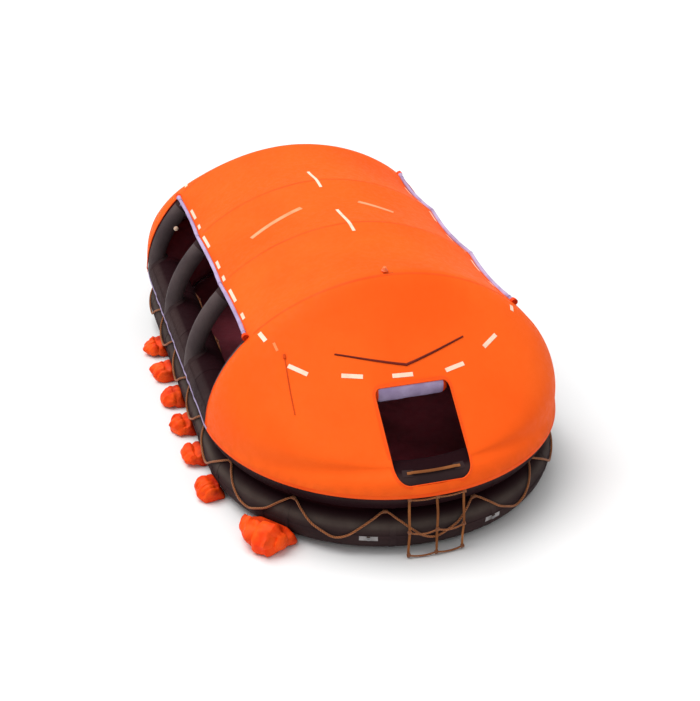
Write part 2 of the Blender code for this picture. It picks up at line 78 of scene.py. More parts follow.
def cell_values(cell, seed):
    """A value from -1 to 1 for each whole-number place, mixed from its numbers and the seed."""
    mixed = cell[..., 0] * 374761393 + cell[..., 1] * 668265263 + cell[..., 2] * 914744861 + seed * 974711
    mixed &= 0xFFFFFFFF
    mixed = ((mixed ^ (mixed >> 13)) * 1274126177) & 0xFFFFFFFF
    return ((mixed ^ (mixed >> 16)) & 0xFFFF) / 32767.5 - 1


def noise(points, size, seed=0):
    """Smooth noise from -1 to 1 with lumps of this size (one number, or one for each axis)."""
    place = np.asarray(points, float) / size
    cell = np.floor(place).astype(np.int64)
    part = place - cell
    part = part * part * part * (part * (part * 6 - 15) + 10)
    total = 0.0
    for corner in range(8):
        step = np.array([corner & 1, corner >> 1 & 1, corner >> 2 & 1])
        weight = np.prod(np.where(step == 1, part, 1 - part), axis=-1)
        total = total + weight * cell_values(cell + step, seed)
    return total


def folds(points, size, seed=0):
    """Sharp creases from 0 to 1, like those of crumpled cloth."""
    return 1 - np.abs(noise(points, size, seed)) * 2


def ease(value, low, high):
    """From 0 at low to 1 at high, smoothly; low may be the larger one."""
    part = np.clip((value - low) / (high - low), 0, 1)
    return part * part * (3 - 2 * part)


# Meshes


def join(*parts):
    """Points from their coordinates, each a number, a row, a column or a grid."""
    return np.stack(np.broadcast_arrays(*parts), -1)


def unit(vectors):
    """The vectors at a length of 1."""
    return vectors / np.maximum(np.linalg.norm(vectors, axis=-1, keepdims=True), 1e-9)


def new_object(name, mesh, materials):
    item = bpy.data.objects.new(name, mesh)
    bpy.context.scene.collection.objects.link(item)
    for material in materials if isinstance(materials, (list, tuple)) else [materials]:
        mesh.materials.append(material)
    return item


def grid_arrays(points, wrap_u, wrap_v, caps):
    """Vertices, faces and UVs in metres of a grid of points; wrap_u joins each row's ends."""
    rows, columns = points.shape[:2]
    index = np.arange(rows * columns).reshape(rows, columns)
    closed = points
    if wrap_v:
        index, closed = np.vstack([index, index[:1]]), np.concatenate([closed, closed[:1]])
    if wrap_u:
        index, closed = np.hstack([index, index[:, :1]]), np.concatenate([closed, closed[:, :1]], axis=1)
    along_u = np.linalg.norm(np.diff(closed, axis=1), axis=2).mean(axis=0)
    along_v = np.linalg.norm(np.diff(closed, axis=0), axis=2).mean(axis=1)
    u, v = np.meshgrid(np.append(0, np.cumsum(along_u)), np.append(0, np.cumsum(along_v)))
    if wrap_u:
        u = u / u.max()
    uv = np.stack([u, v], axis=-1)
    faces, places = [], []
    for grid, out in ((index, faces), (uv, places)):
        corners = np.stack([grid[:-1, :-1], grid[:-1, 1:], grid[1:, 1:], grid[1:, :-1]], axis=2)
        out.extend(corners.reshape(-1, 4, *grid.shape[2:]).tolist())
    vertices = points.reshape(-1, 3).tolist()
    if caps:
        for row, ring in ((0, index[0]), (rows - 1, index[rows - 1])):
            vertices.append(points[row].mean(axis=0).tolist())
            for a, b in zip(ring[:-1], ring[1:]):
                faces.append([int(a), int(b), len(vertices) - 1])
                places.append([[0.0, 0.0], [0.02, 0.0], [0.01, 0.01]])
    return vertices, faces, places


def build(name, grids, materials, wrap_u=False, wrap_v=False, caps=False, weld=0.0, keep=None):
    """One object from one or several grids of points; keep marks the faces that stay."""
    vertices, faces, places = [], [], []
    for grid in grids if isinstance(grids, list) else [grids]:
        more, more_faces, more_places = grid_arrays(np.asarray(grid, float), wrap_u, wrap_v, caps)
        start = len(vertices)
        vertices += more
        faces += [[corner + start for corner in face] for face in more_faces]
        places += more_places
    if keep is not None:
        faces = [face for face, stays in zip(faces, keep) if stays]
        places = [place for place, stays in zip(places, keep) if stays]
    mesh = bpy.data.meshes.new(name)
    mesh.from_pydata(vertices, [], faces)
    layer = mesh.uv_layers.new(name="UVMap")
    layer.data.foreach_set("uv", np.concatenate([np.ravel(place) for place in places]).astype(np.float32))
    item = new_object(name, mesh, materials)
    clean(item, weld)
    shade(item)
    return item


def capped(name, grids, material):
    """Closed strips, or tubes with their ends closed."""
    return build(name, grids, material, wrap_u=True, caps=True)


def looped(name, grids, material):
    """Tubes and bands whose ends meet."""
    return build(name, grids, material, wrap_u=True, wrap_v=True)


@contextlib.contextmanager
def edited(item):
    """The object's mesh as one that bmesh can change, written back at the end."""
    builder = bmesh.new()
    builder.from_mesh(item.data)
    yield builder
    builder.to_mesh(item.data)
    builder.free()


def clean(item, weld):
    """Drops loose points, welds close ones and turns the faces outward."""
    with edited(item) as builder:
        loose = [vertex for vertex in builder.verts if not vertex.link_faces]
        bmesh.ops.delete(builder, geom=loose, context="VERTS")
        if weld:
            bmesh.ops.remove_doubles(builder, verts=builder.verts, dist=weld)
            bmesh.ops.dissolve_degenerate(builder, edges=builder.edges, dist=weld / 10)
        bmesh.ops.recalc_face_normals(builder, faces=builder.faces)


def shade(item, sharp=math.radians(50)):
    item.data.polygons.foreach_set("use_smooth", [True] * len(item.data.polygons))
    item.data.set_sharp_from_angle(angle=sharp)


def thicken(item, thickness):
    """Makes an open sheet a closed one, with its last material on the inner side."""
    solid = item.modifiers.new("cloth", "SOLIDIFY")
    solid.thickness, solid.offset, solid.use_even_offset = thickness, -1.0, False
    solid.material_offset = len(item.data.materials) - 1
    graph = bpy.context.evaluated_depsgraph_get()
    mesh = bpy.data.meshes.new_from_object(item.evaluated_get(graph), depsgraph=graph)
    item.modifiers.clear()
    item.data = mesh


def merge(name, items):
    """One object from several, which keep their materials."""
    builder, materials = bmesh.new(), []
    for item in items:
        for material in item.data.materials:
            if material not in materials:
                materials.append(material)
    for item in items:
        slots = [materials.index(material) for material in item.data.materials]
        start = len(builder.faces)
        builder.from_mesh(item.data)
        builder.faces.ensure_lookup_table()
        for face in builder.faces[start:]:
            face.material_index = slots[face.material_index]
    mesh = bpy.data.meshes.new(name)
    builder.to_mesh(mesh)
    builder.free()
    for item in items:
        bpy.data.objects.remove(item, do_unlink=True)
    return new_object(name, mesh, materials)


def spline(points, per_span):
    """A smooth path through the points."""
    knots = np.asarray(points, float)
    starts, ends = knots[:-1], knots[1:]
    before = np.vstack([2 * knots[0] - knots[1], knots[:-2]])
    beyond = np.vstack([knots[2:], 2 * knots[-1] - knots[-2]])
    out = []
    for t in np.linspace(0, 1, per_span, endpoint=False):
        out.append(0.5 * (2 * starts + (ends - before) * t + (2 * before - 5 * starts + 4 * ends - beyond) * t**2
                          + (3 * starts - before - 3 * ends + beyond) * t**3))
    return np.vstack([np.stack(out, axis=1).reshape(-1, knots.shape[1]), knots[-1]])


def circle_turns(count):
    return np.linspace(0, 2 * math.pi, count, endpoint=False)


def sweep(path, radius, sides=12, closed=False, up=UP, flat=1.0):
    """Rows of points round a path; flat narrows the section along up, and radius may change along the path."""
    path = np.asarray(path, float)
    ahead = unit(np.roll(path, -1, 0) - np.roll(path, 1, 0) if closed else np.gradient(path, axis=0))
    upward = np.broadcast_to(np.asarray(up, float), path.shape)
    side = unit(np.cross(ahead, upward))
    upward = np.cross(side, ahead)
    turns = circle_turns(sides)
    reach = np.broadcast_to(np.reshape(radius, (-1, 1)), (len(path), 1))[..., None]
    ring = side[:, None] * np.cos(turns)[None, :, None] + upward[:, None] * np.sin(turns)[None, :, None] * flat
    return path[:, None] + ring * reach


def rope(name, paths, radius, material, sides=10, closed=False, up=UP, flat=1.0):
    grids = [sweep(path, radius, sides, closed, up, flat) for path in paths]
    return build(name, grids, material, wrap_u=True, wrap_v=closed, caps=not closed)


def slab(points, normals, thickness, lift=0.0):
    """A closed strip on a surface: rows of points across it, raised by lift, with this thickness."""
    top = points + normals * (lift + thickness)
    low = points + normals * lift
    return np.concatenate([top, low[:, ::-1]], axis=1)


def grid_normals(points):
    return unit(np.cross(np.gradient(points, axis=1), np.gradient(points, axis=0)))


def outward(normals, places):
    """The normals, turned where needed so that they look away from the cabin."""
    return normals * np.sign((normals * (places - CABIN_MIDDLE)).sum(-1, keepdims=True))


# The raft's main curves


def ring(distance):
    """The tubes' centre line and its outward direction at a distance along it, from where the back end starts."""
    distance = np.mod(distance, LAP)
    second = distance >= LAP / 2
    distance = distance - np.where(second, LAP / 2, 0)
    sign = np.where(second, -1.0, 1.0)
    half_end = math.pi * RING_RADIUS
    on_end = distance < half_end
    angle = np.minimum(distance, half_end) / RING_RADIUS
    x = np.where(on_end, RING_RADIUS * np.cos(angle), -RING_RADIUS)
    y = np.where(on_end, END_Y + RING_RADIUS * np.sin(angle), END_Y - (distance - half_end))
    out_x, out_y = np.where(on_end, np.cos(angle), -1.0), np.where(on_end, np.sin(angle), 0.0)
    return join(sign * x, sign * y, 0.0), join(sign * out_x, sign * out_y, 0.0)


def on_tube(distance, turn, z, reach):
    """Points beside a tube: turn is 0 straight out and a quarter turn on top."""
    centre, out = ring(distance)
    turn, reach = np.asarray(turn)[..., None], np.asarray(reach)[..., None]
    return centre + out * reach * np.cos(turn) + UP * (z + reach * np.sin(turn))


def off_tube(distance, turn):
    """The direction straight away from a tube's middle line."""
    turn = np.asarray(turn)[..., None]
    return ring(distance)[1] * np.cos(turn) + UP * np.sin(turn)


def tube_grid(distance, turns, z, reach):
    """Rows of points round a tube, one for each distance."""
    return on_tube(distance[:, None], turns[None, :], z, reach)


def end_distance(angle, end):
    """Distance along the ring of an angle round an end; a right angle is its middle."""
    return (angle if end > 0 else math.pi - angle) * RING_RADIUS + (0 if end > 0 else LAP / 2)


def section(angle, depth=0.0):
    """X and Z on the canopy's cross-section at an angle, this deep under the cloth."""
    power = 2 / SECTION_POWER
    half, base = CANOPY_REACH * math.cos(SIDE_WRAP) + RING_RADIUS, CANOPY_REACH * math.sin(SIDE_WRAP) + UPPER_Z
    rise = RIDGE_Z - base
    across, upward = np.abs(np.cos(angle)) ** power, np.abs(np.sin(angle)) ** power
    out_x, out_z = across ** (SECTION_POWER - 1) / half, upward ** (SECTION_POWER - 1) / rise
    size = np.hypot(out_x, out_z)
    side = np.sign(np.cos(angle))
    return side * (half * across - depth * out_x / size), base + rise * upward - depth * out_z / size


def section_angle(z):
    """The right side's angle at this height on the cross-section."""
    base = CANOPY_REACH * math.sin(SIDE_WRAP) + UPPER_Z
    return math.asin(((z - base) / (RIDGE_Z - base)) ** (SECTION_POWER / 2))


def hem_place(angle, share=1.0):
    """Where the front canopy leaves the tube at an angle round the end; share 0 is its hem on the tube's side."""
    wrap = (SIDE_WRAP + (NOSE_WRAP - SIDE_WRAP) * np.sin(angle) ** 2) * share
    radius, z = RING_RADIUS + CANOPY_REACH * np.cos(wrap), UPPER_Z + CANOPY_REACH * np.sin(wrap)
    x, y = radius * np.cos(angle), -END_Y - radius * np.sin(angle)
    beside = y > -CREST_Y - 1e-6
    straight = np.sqrt(np.maximum(radius**2 - (CREST_Y - END_Y) ** 2, 0))
    return np.where(beside, np.copysign(straight, x), x), np.where(beside, -CREST_Y, y), z


def end_canopy_z(x, y):
    """Height of the front canopy over a place in plan, by halving the range of its foot's angle."""
    low, high = np.zeros(np.shape(y)), np.full(np.shape(y), math.pi / 2)
    for _ in range(40):
        middle = (low + high) / 2
        inside = hem_place(middle)[1] > y
        low, high = np.where(inside, middle, low), np.where(inside, high, middle)
    half, _, foot = hem_place(low)
    _, nose_y, nose_z = hem_place(np.array(math.pi / 2))
    out = np.clip((-CREST_Y - y) / (-CREST_Y - nose_y), 0, 1)
    crown = RIDGE_Z - (RIDGE_Z - nose_z) * (out + NOSE_SAG * out * (1 - out))
    power = SECTION_POWER + NOSE_SQUARENESS * out**NOSE_SQUARING_POWER
    aside = np.minimum(1, np.abs(x) / np.maximum(half, 1e-6))
    return foot + (crown - foot) * (1 - aside**power) ** (1 / power)


# Materials


def srgb(*parts):
    """A colour as a screen shows it, from 0 to 255, as the shader's own numbers."""
    return (*[(part / 255 / 12.92 if part < 11 else ((part / 255 + 0.055) / 1.055) ** 2.4) for part in parts], 1.0)


class Paint:
    """A procedural material, built by short calls."""

    def __init__(self, name, roughness, **sockets):
        self.material = bpy.data.materials.new(name)
        self.material.use_nodes = True
        self.tree = self.material.node_tree
        self.shader = self.tree.nodes["Principled BSDF"]
        self.shader.inputs["Roughness"].default_value = roughness
        for socket, value in sockets.items():
            self.shader.inputs[socket.replace("_", " ")].default_value = value
        places = self.node("ShaderNodeTexCoord")
        self.place, self.uv = places.outputs["Object"], places.outputs["UV"]
        self.normal = None

    def node(self, kind, inputs=(), **settings):
        node = self.tree.nodes.new(kind)
        for key, value in settings.items():
            setattr(node, key, value)
        for key, value in dict(inputs).items():
            if isinstance(value, bpy.types.NodeSocket):
                self.tree.links.new(value, node.inputs[key])
            else:
                node.inputs[key].default_value = value
        return node

    def noise(self, scale, detail):
        inputs = {"Vector": self.place, "Scale": scale, "Detail": detail, "Roughness": 0.55}
        return self.node("ShaderNodeTexNoise", inputs).outputs[0]

    def range(self, value, low, high, to_low=0.0, to_high=1.0):
        inputs = {0: value, 1: low, 2: high, 3: to_low, 4: to_high}
        return self.node("ShaderNodeMapRange", inputs, interpolation_type="SMOOTHSTEP").outputs[0]

    def spots(self, scale, detail, low, high, to_low=0.0, to_high=1.0):
        """Noise spread over a range."""
        return self.range(self.noise(scale, detail), low, high, to_low, to_high)

    def mix(self, factor, first, second):
        return self.node("ShaderNodeMix", {0: factor, 6: first, 7: second}, data_type="RGBA").outputs[2]

    def math(self, operation, first, second=0.0):
        return self.node("ShaderNodeMath", {0: first, 1: second}, operation=operation).outputs[0]

    def wave(self, scale, direction):
        inputs = {"Vector": self.uv, "Scale": scale}
        return self.node("ShaderNodeTexWave", inputs, bands_direction=direction).outputs[1]

    def attribute(self, name):
        return self.node("ShaderNodeAttribute", attribute_name=name).outputs["Fac"]

    def bump(self, height, distance, strength=1.0):
        inputs = {"Height": height, "Distance": distance, "Strength": strength}
        if self.normal:
            inputs["Normal"] = self.normal
        self.normal = self.node("ShaderNodeBump", inputs).outputs[0]

    def weave(self, pitch, distance):
        """Threads across each other, pitch metres apart."""
        first, second = self.wave(0.314 / pitch, "X"), self.wave(0.314 / pitch, "Y")
        self.bump(self.math("MULTIPLY", first, second), distance, 0.6)

    def finish(self, colour, roughness=None):
        """Joins the colour, and the roughness and bumps if any, to the shader."""
        self.tree.links.new(colour, self.shader.inputs["Base Color"])
        if roughness is not None:
            self.tree.links.new(roughness, self.shader.inputs["Roughness"])
        if self.normal:
            self.tree.links.new(self.normal, self.shader.inputs["Normal"])
        return self.material


# Painted lighter maroon for the tubes' cabin side under the end canopies, in place of the painted shade, so that the
# deep shade there shows dark maroon instead of black.
INSIDE = srgb(132, 62, 70)


def cloth_paint(name, light, dark, roughness, weave, crease, dirt_and_painted_light_colour=None, patch=1.6, shine=0.12, painted_shade=None,
                even=0.25):
    """Coated cloth: blotches of this patch scale, specks, threads weave metres apart and creases of this height.

    With a grime colour it mixes that in where the point attribute says so, more evenly the nearer even is to 1: dirt
    on the canopy and patches, a painted highlight on the tubes and painted shade on the pockets. With a cabin-side
    colour it paints that as shade on the tubes' cabin side and in their crease, and a lighter maroon under the end
    canopies.
    """
    paint = Paint(name, roughness, Specular_IOR_Level=shine)
    blotch = paint.spots(patch, 4.0, 0.35, 0.7)
    colour = paint.mix(blotch, light, dark)
    speck = paint.spots(55.0, 2.0, 0.45, 0.75, 0.0, 0.3)
    colour = paint.mix(speck, colour, dark)
    if dirt_and_painted_light_colour:
        patches = paint.spots(7.0, 6.0, 0.3, 0.7, even, 1.0)
        colour = paint.mix(paint.math("MULTIPLY", paint.attribute("grime_and_painted_light"), patches), colour, dirt_and_painted_light_colour)
    # Painted shade on the tubes' cabin side and in the crease between them; under the end canopies it gives way to a
    # lighter painted maroon.
    if painted_shade:
        colour = paint.mix(paint.attribute("painted_shade"), colour, painted_shade)
        colour = paint.mix(paint.attribute("end"), colour, INSIDE)
    paint.bump(paint.noise(9.0, 5.0), crease, 0.5)
    paint.weave(weave, 0.0006)
    return paint.finish(colour, paint.spots(14.0, 3.0, 0.3, 0.7, roughness - 0.08, roughness + 0.1))


def rope_paint(name, light, dark, pitch=0.03):
    """Laid rope: strands that wind round it, with fluff and dirty specks."""
    paint = Paint(name, 0.85, Sheen_Weight=0.2, Specular_IOR_Level=0.2)
    turned = paint.node("ShaderNodeSeparateXYZ", {0: paint.uv})
    along = paint.math("MULTIPLY", turned.outputs[1], 1 / pitch)
    phase = paint.math("FRACT", paint.math("ADD", along, paint.math("MULTIPLY", turned.outputs[0], 3.0)))
    strand = paint.math("SINE", paint.math("MULTIPLY", phase, math.pi))
    colour = paint.mix(paint.range(strand, 0.2, 0.9), dark, light)
    colour = paint.mix(paint.spots(30.0, 4.0, 0.4, 0.7, 0.0, 0.5), colour, dark)
    paint.bump(strand, 0.004)
    paint.bump(paint.noise(400.0, 2.0), 0.0006)
    return paint.finish(colour)


def plastic_paint(name, light, dark, roughness, grain=0.0003, metallic=0.0, wear=None):
    paint = Paint(name, roughness, Metallic=metallic)
    colour = paint.mix(paint.spots(20.0, 5.0, 0.4, 0.75), light, dark)
    if wear:
        colour = paint.mix(paint.spots(90.0, 3.0, 0.6, 0.7, 0.0, 0.8), colour, wear)
    paint.bump(paint.noise(300.0, 2.0), grain)
    return paint.finish(colour, paint.spots(35.0, 4.0, 0.3, 0.7, roughness * 0.8, roughness * 1.3))


# SOOT is dirt on the canopy's lower part. DUST_AND_HIGHLIGHT is faint dust on the tubes, and also the paler grey of
# the painted highlight along the lower tube's shoulder.
SOOT, DUST_AND_HIGHLIGHT = srgb(150, 62, 30), srgb(92, 82, 75)
CANOPY = cloth_paint("canopy_cloth", srgb(255, 101, 27), srgb(251, 92, 20), 0.62, 0.006, 0.005, SOOT, 0.7, 0.08)
LINING = cloth_paint("canopy_lining", srgb(250, 108, 112), srgb(216, 84, 90), 0.75, 0.006, 0.006)
# The dark maroon here is painted shade on the tubes' cabin side and in the crease between them.
TUBE_SETTINGS = {"dirt_and_painted_light_colour": DUST_AND_HIGHLIGHT, "shine": 0.03, "painted_shade": srgb(32, 12, 16), "even": 0.75}
HULL = cloth_paint("hull_rubber", srgb(56, 41, 41), srgb(43, 30, 32), 0.6, 0.005, 0.004, **TUBE_SETTINGS)
BAND = cloth_paint("band_rubber", srgb(60, 45, 45), srgb(45, 33, 35), 0.6, 0.004, 0.002, **TUBE_SETTINGS)
ARCH = cloth_paint("arch_rubber", srgb(84, 71, 71), srgb(64, 53, 55), 0.6, 0.005, 0.004)
FLOOR = cloth_paint("floor_cloth", srgb(136, 60, 72), srgb(96, 40, 48), 0.7, 0.008, 0.005, None, 1.1)
PALE = cloth_paint("curtain_cloth", srgb(190, 172, 208), srgb(158, 138, 176), 0.7, 0.005, 0.008, None, 3.0)
# The pockets' dark red is painted shade where the bags meet the tube and at their feet, with random dark blotches.
POCKET = cloth_paint("pocket_cloth", srgb(255, 88, 20), srgb(250, 62, 10), 0.5, 0.006, 0.015, srgb(156, 18, 4), 5.0)
TAPE = cloth_paint("reflective_tape", srgb(255, 226, 202), srgb(246, 208, 180), 0.45, 0.008, 0.002, None, 6.0)
BINDING = cloth_paint("hem_binding", srgb(166, 150, 182), srgb(138, 124, 156), 0.7, 0.005, 0.004, None, 3.0)
WORN_TAPE = cloth_paint("worn_tape", srgb(255, 168, 122), srgb(252, 148, 98), 0.5, 0.008, 0.002, None, 6.0)
GUTTER = cloth_paint("gutter_rubber", srgb(116, 36, 24), srgb(84, 24, 18), 0.5, 0.004, 0.002)
CORD = cloth_paint("tie_cord", srgb(214, 74, 16), srgb(190, 58, 12), 0.6, 0.004, 0.002)
# Paler orange painted on the tie's tab, standing in for a small highlight there.
TAB_HIGHLIGHT = cloth_paint("tab_highlight_cloth", srgb(255, 140, 84), srgb(246, 122, 66), 0.6, 0.004, 0.002)
TAN = cloth_paint("tan_webbing", srgb(166, 104, 58), srgb(120, 70, 38), 0.8, 0.003, 0.002)
GREY = cloth_paint("patch_rubber", srgb(176, 172, 172), srgb(136, 132, 134), 0.6, 0.004, 0.002, srgb(90, 80, 76))
# Seam cloth a touch darker than the canopy, partly painted shade: the seams over the arches read as the shading
# lines there.
EDGE = cloth_paint("seam_cloth", srgb(246, 88, 21), srgb(240, 80, 17), 0.64, 0.003, 0.001, SOOT)
INNER = cloth_paint("curtain_face", srgb(250, 80, 24), srgb(222, 58, 16), 0.62, 0.005, 0.004)
ROPE = rope_paint("tan_rope", srgb(172, 104, 58), srgb(108, 60, 32))
STEEL = plastic_paint("ring_steel", srgb(176, 176, 178), srgb(132, 132, 136), 0.35, 0.0002, 1.0)
LAMP = plastic_paint("lamp_body", srgb(246, 100, 36), srgb(228, 88, 30), 0.4, 0.0003, 0.0, srgb(190, 74, 30))
LENS = plastic_paint("lamp_lens", srgb(255, 122, 62), srgb(250, 108, 48), 0.25)


def settle(item, slot=None, *nodes):
    """Every piece rides on the raft's one body; slot, its finish, is not used, and nodes are what it replaces."""
    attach(item, "root")
    if nodes:
        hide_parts(*nodes)
    return item


def grime_and_painted_light(item, measure, name="grime_and_painted_light"):
    """Writes a value from 0 to 1 at each point, where the material reads it: dirt on the canopy and tow patches, a
    painted highlight with faint dust on the tubes, and painted shade on the tubes and pockets.
    """
    points = np.empty(len(item.data.vertices) * 3)
    item.data.vertices.foreach_get("co", points)
    values = np.clip(measure(points.reshape(-1, 3)), 0, 1)
    layer = item.data.attributes.new(name, "FLOAT", "POINT")
    layer.data.foreach_set("value", values.astype(np.float32))


# Camera, light and floor

CAMERA_PLACE = Vector((-4.251558, -14.566337, 8.898042))
CAMERA_RIGHT = Vector((0.9571026, -0.2895217, 0.0114798))
CAMERA_UP = Vector((0.1326876, 0.4731724, 0.8709201))
FOCAL_PIXELS, IMAGE_HEIGHT, SENSOR = 1277.0729, 701, 36.0


def make_studio():
    data = bpy.data.cameras.new("camera")
    data.sensor_width = SENSOR
    data.lens = FOCAL_PIXELS * SENSOR / IMAGE_HEIGHT
    camera = bpy.data.objects.new("camera", data)
    back = CAMERA_RIGHT.cross(CAMERA_UP)
    turn = Matrix((CAMERA_RIGHT, CAMERA_UP, back)).transposed().to_4x4()
    camera.matrix_world = Matrix.Translation(CAMERA_PLACE) @ turn
    bpy.context.scene.collection.objects.link(camera)
    bpy.context.scene.camera = camera

    floor_paint = Paint("studio_floor", 0.9, Specular_IOR_Level=0.1)
    tone = floor_paint.spots(0.4, 2.0, 0.3, 0.7)
    colour = floor_paint.mix(tone, srgb(238, 238, 238), srgb(234, 234, 234))
    turns = circle_turns(64)
    circle = join(np.cos(turns), np.sin(turns), 0.0)
    floor = build("studio_floor", np.stack([circle * 90, circle * 0.01]), floor_paint.finish(colour), wrap_u=True)
    floor.location.z = -0.001

    world = bpy.data.worlds.new("studio")
    bpy.context.scene.world = world
    world.use_nodes = True
    background = world.node_tree.nodes["Background"]
    background.inputs["Color"].default_value = (1.0, 1.0, 1.0, 1.0)
    background.inputs["Strength"].default_value = 0.5

    for name, strength, angle, tilt in (
        ("key", 2.7, 50.0, (math.radians(-15), math.radians(-20), 0.0)),
        ("fill", 0.3, 60.0, (math.radians(26), math.radians(10), 0.0)),
    ):
        light = bpy.data.lights.new(name, "SUN")
        light.energy, light.angle = strength, math.radians(angle)
        lamp = bpy.data.objects.new(name, light)
        lamp.rotation_euler = tilt
        bpy.context.scene.collection.objects.link(lamp)


# Tubes, floor and arches

RING_ROWS, TUBE_SIDES, TUBE_JOINTS, ARCH_SIDES = 330, 44, 18, 32


def from_middle(points):
    """Across the raft, or round an end from its centre, how far out each point is in plan."""
    return np.hypot(points[:, 0], np.maximum(np.abs(points[:, 1]) - END_Y, 0))


def painted_shade(points):
    """How much painted shade each point gets, from 0 to 1: on the tubes' cabin side, and outside in the crease
    between them.
    """
    crease = ease(np.abs(points[:, 2] - 2 * TUBE_RADIUS - 0.06), 0.24, 0.08)
    return np.maximum(ease(from_middle(points), RING_RADIUS + 0.16, RING_RADIUS + 0.10), crease)


def at_end(points):
    """How far each point is on the tubes' cabin side under an end canopy, away from the doors, from 0 to 1; there a
    lighter maroon is painted in place of the painted shade, to lift that deep shade.
    """
    deep = ease(from_middle(points), RING_RADIUS + 0.10, RING_RADIUS)
    return deep * ease(np.abs(points[:, 1]), 1.9, 2.3) * ease(np.abs(points[:, 0]), 0.55, 0.95)


def shoulder_highlight_and_dust(points):
    """A painted highlight along the lower tube's shoulder, broken up by noise, with faint dust everywhere, from 0 to
    1.
    """
    shoulder = np.exp(-(((points[:, 2] - 0.40) / 0.055) ** 2)) * (from_middle(points) > RING_RADIUS)
    return shoulder * (0.72 + 0.25 * noise(points, (1.6, 1.6, 0.5), 41)) + 0.04


def mark_tube_dust_and_painted_light(item):
    """Writes on a piece of tube its painted highlight with faint dust, its painted shade on the cabin's side and in
    the crease, and the lighter painted maroon at its ends.
    """
    for measure, name in ((shoulder_highlight_and_dust, "grime_and_painted_light"), (painted_shade, "painted_shade"), (at_end, "end")):
        grime_and_painted_light(item, measure, name)


def make_tubes():
    """Each inflated ring, a little uneven along its seams, and the bands that cover its joints."""
    turns = circle_turns(TUBE_SIDES)
    distance = np.linspace(0, LAP, RING_ROWS, endpoint=False)
    bands = np.arange(TUBE_JOINTS) * LAP / TUBE_JOINTS + 0.35
    for name, z, seed in (("lower", LOWER_Z, 3), ("upper", UPPER_Z, 8)):
        plain = tube_grid(distance, turns, z, TUBE_RADIUS)
        gap = np.abs((distance[:, None] - bands[None, :] + LAP / 2) % LAP - LAP / 2).min(axis=1)
        reach = TUBE_RADIUS - 0.0015 + 0.0015 * noise(plain, (0.5, 0.5, 0.2), seed)
        reach = reach - 0.003 * (1 - ease(gap, 0.0, 0.10))[:, None]
        points = tube_grid(distance, turns, z, reach)
        mark_tube_dust_and_painted_light(settle(looped(f"tube_{name}_skin", points, HULL), "tube_rubber", f"buoyancy_tube_{name}"))
        grids = []
        for band in bands:
            along = band + np.linspace(-0.03, 0.03, 3)
            inner = tube_grid(along, turns, z, TUBE_RADIUS - 0.0035)
            outer = tube_grid(along, turns, z, TUBE_RADIUS + np.array([0.0, 0.0012, 0.0])[:, None])
            grids.append(np.concatenate([outer, inner[::-1]], axis=0))
        mark_tube_dust_and_painted_light(settle(looped(f"tube_{name}_bands", grids, BAND)))


def make_rub_strips():
    """The strip under the canopy's hem, dark with the painted shade of the crease between the tubes, and the one
    along the lower tube's side.
    """
    distance = np.linspace(0, LAP, RING_ROWS, endpoint=False)
    reach = TUBE_RADIUS + 0.0015
    for name, z, degrees in (("hem_strip", UPPER_Z, (-4.0, -8.0, -13.0)), ("side_strip", LOWER_Z, (4.0, 0.0, -4.0))):
        turns = np.radians(degrees)
        outer = tube_grid(distance, turns, z, reach + 0.001)
        inner = tube_grid(distance, turns[::-1], z, reach - 0.003)
        # The strips take the tubes' painted shade from the crease and the cabin side.
        grime_and_painted_light(settle(looped(name, np.concatenate([outer, inner], axis=1), BAND)), painted_shade, "painted_shade")


def stadium(radius, along=60, straight=24):
    """The raft's outline in plan with ends of this radius."""
    turns = np.linspace(0, math.pi, along)
    arc = join(radius * np.cos(turns), END_Y + radius * np.sin(turns))
    side = join(-radius, np.linspace(END_Y, -END_Y, straight + 2)[1:-1])
    half = np.vstack([arc, side])
    return np.vstack([half, -half])


def make_floor():
    """The inflated floor, quilted by rows of drop threads."""
    outline = stadium(FLOOR_RADIUS)
    shares = np.concatenate([np.linspace(0, 0.94, 26), [0.965, 0.985, 0.996]])
    grid = outline[None] * shares[:, None, None]
    channel = 0.5 + 0.5 * np.cos(grid[..., 1] * 2 * math.pi / 0.22)
    cross = 0.5 + 0.5 * np.cos(grid[..., 0] * 2 * math.pi / 0.55)
    edge = 1 - shares[:, None] ** 24
    top = FLOOR_THICKNESS * (0.55 + 0.45 * np.sqrt(np.clip(edge, 0, 1))) - 0.012 * np.maximum(channel, cross) ** 6
    upper = np.concatenate([grid, top[..., None]], -1)
    low = np.concatenate([grid, 0.003 + 0 * top[..., None]], -1)
    low[-1, :, 2] = 0.03
    points = np.concatenate([upper, low[::-1]], axis=0)
    floor = build("floor_quilt", points, FLOOR, wrap_u=True, weld=0.0005)
    settle(floor, "floor_fabric", "floor_panel")


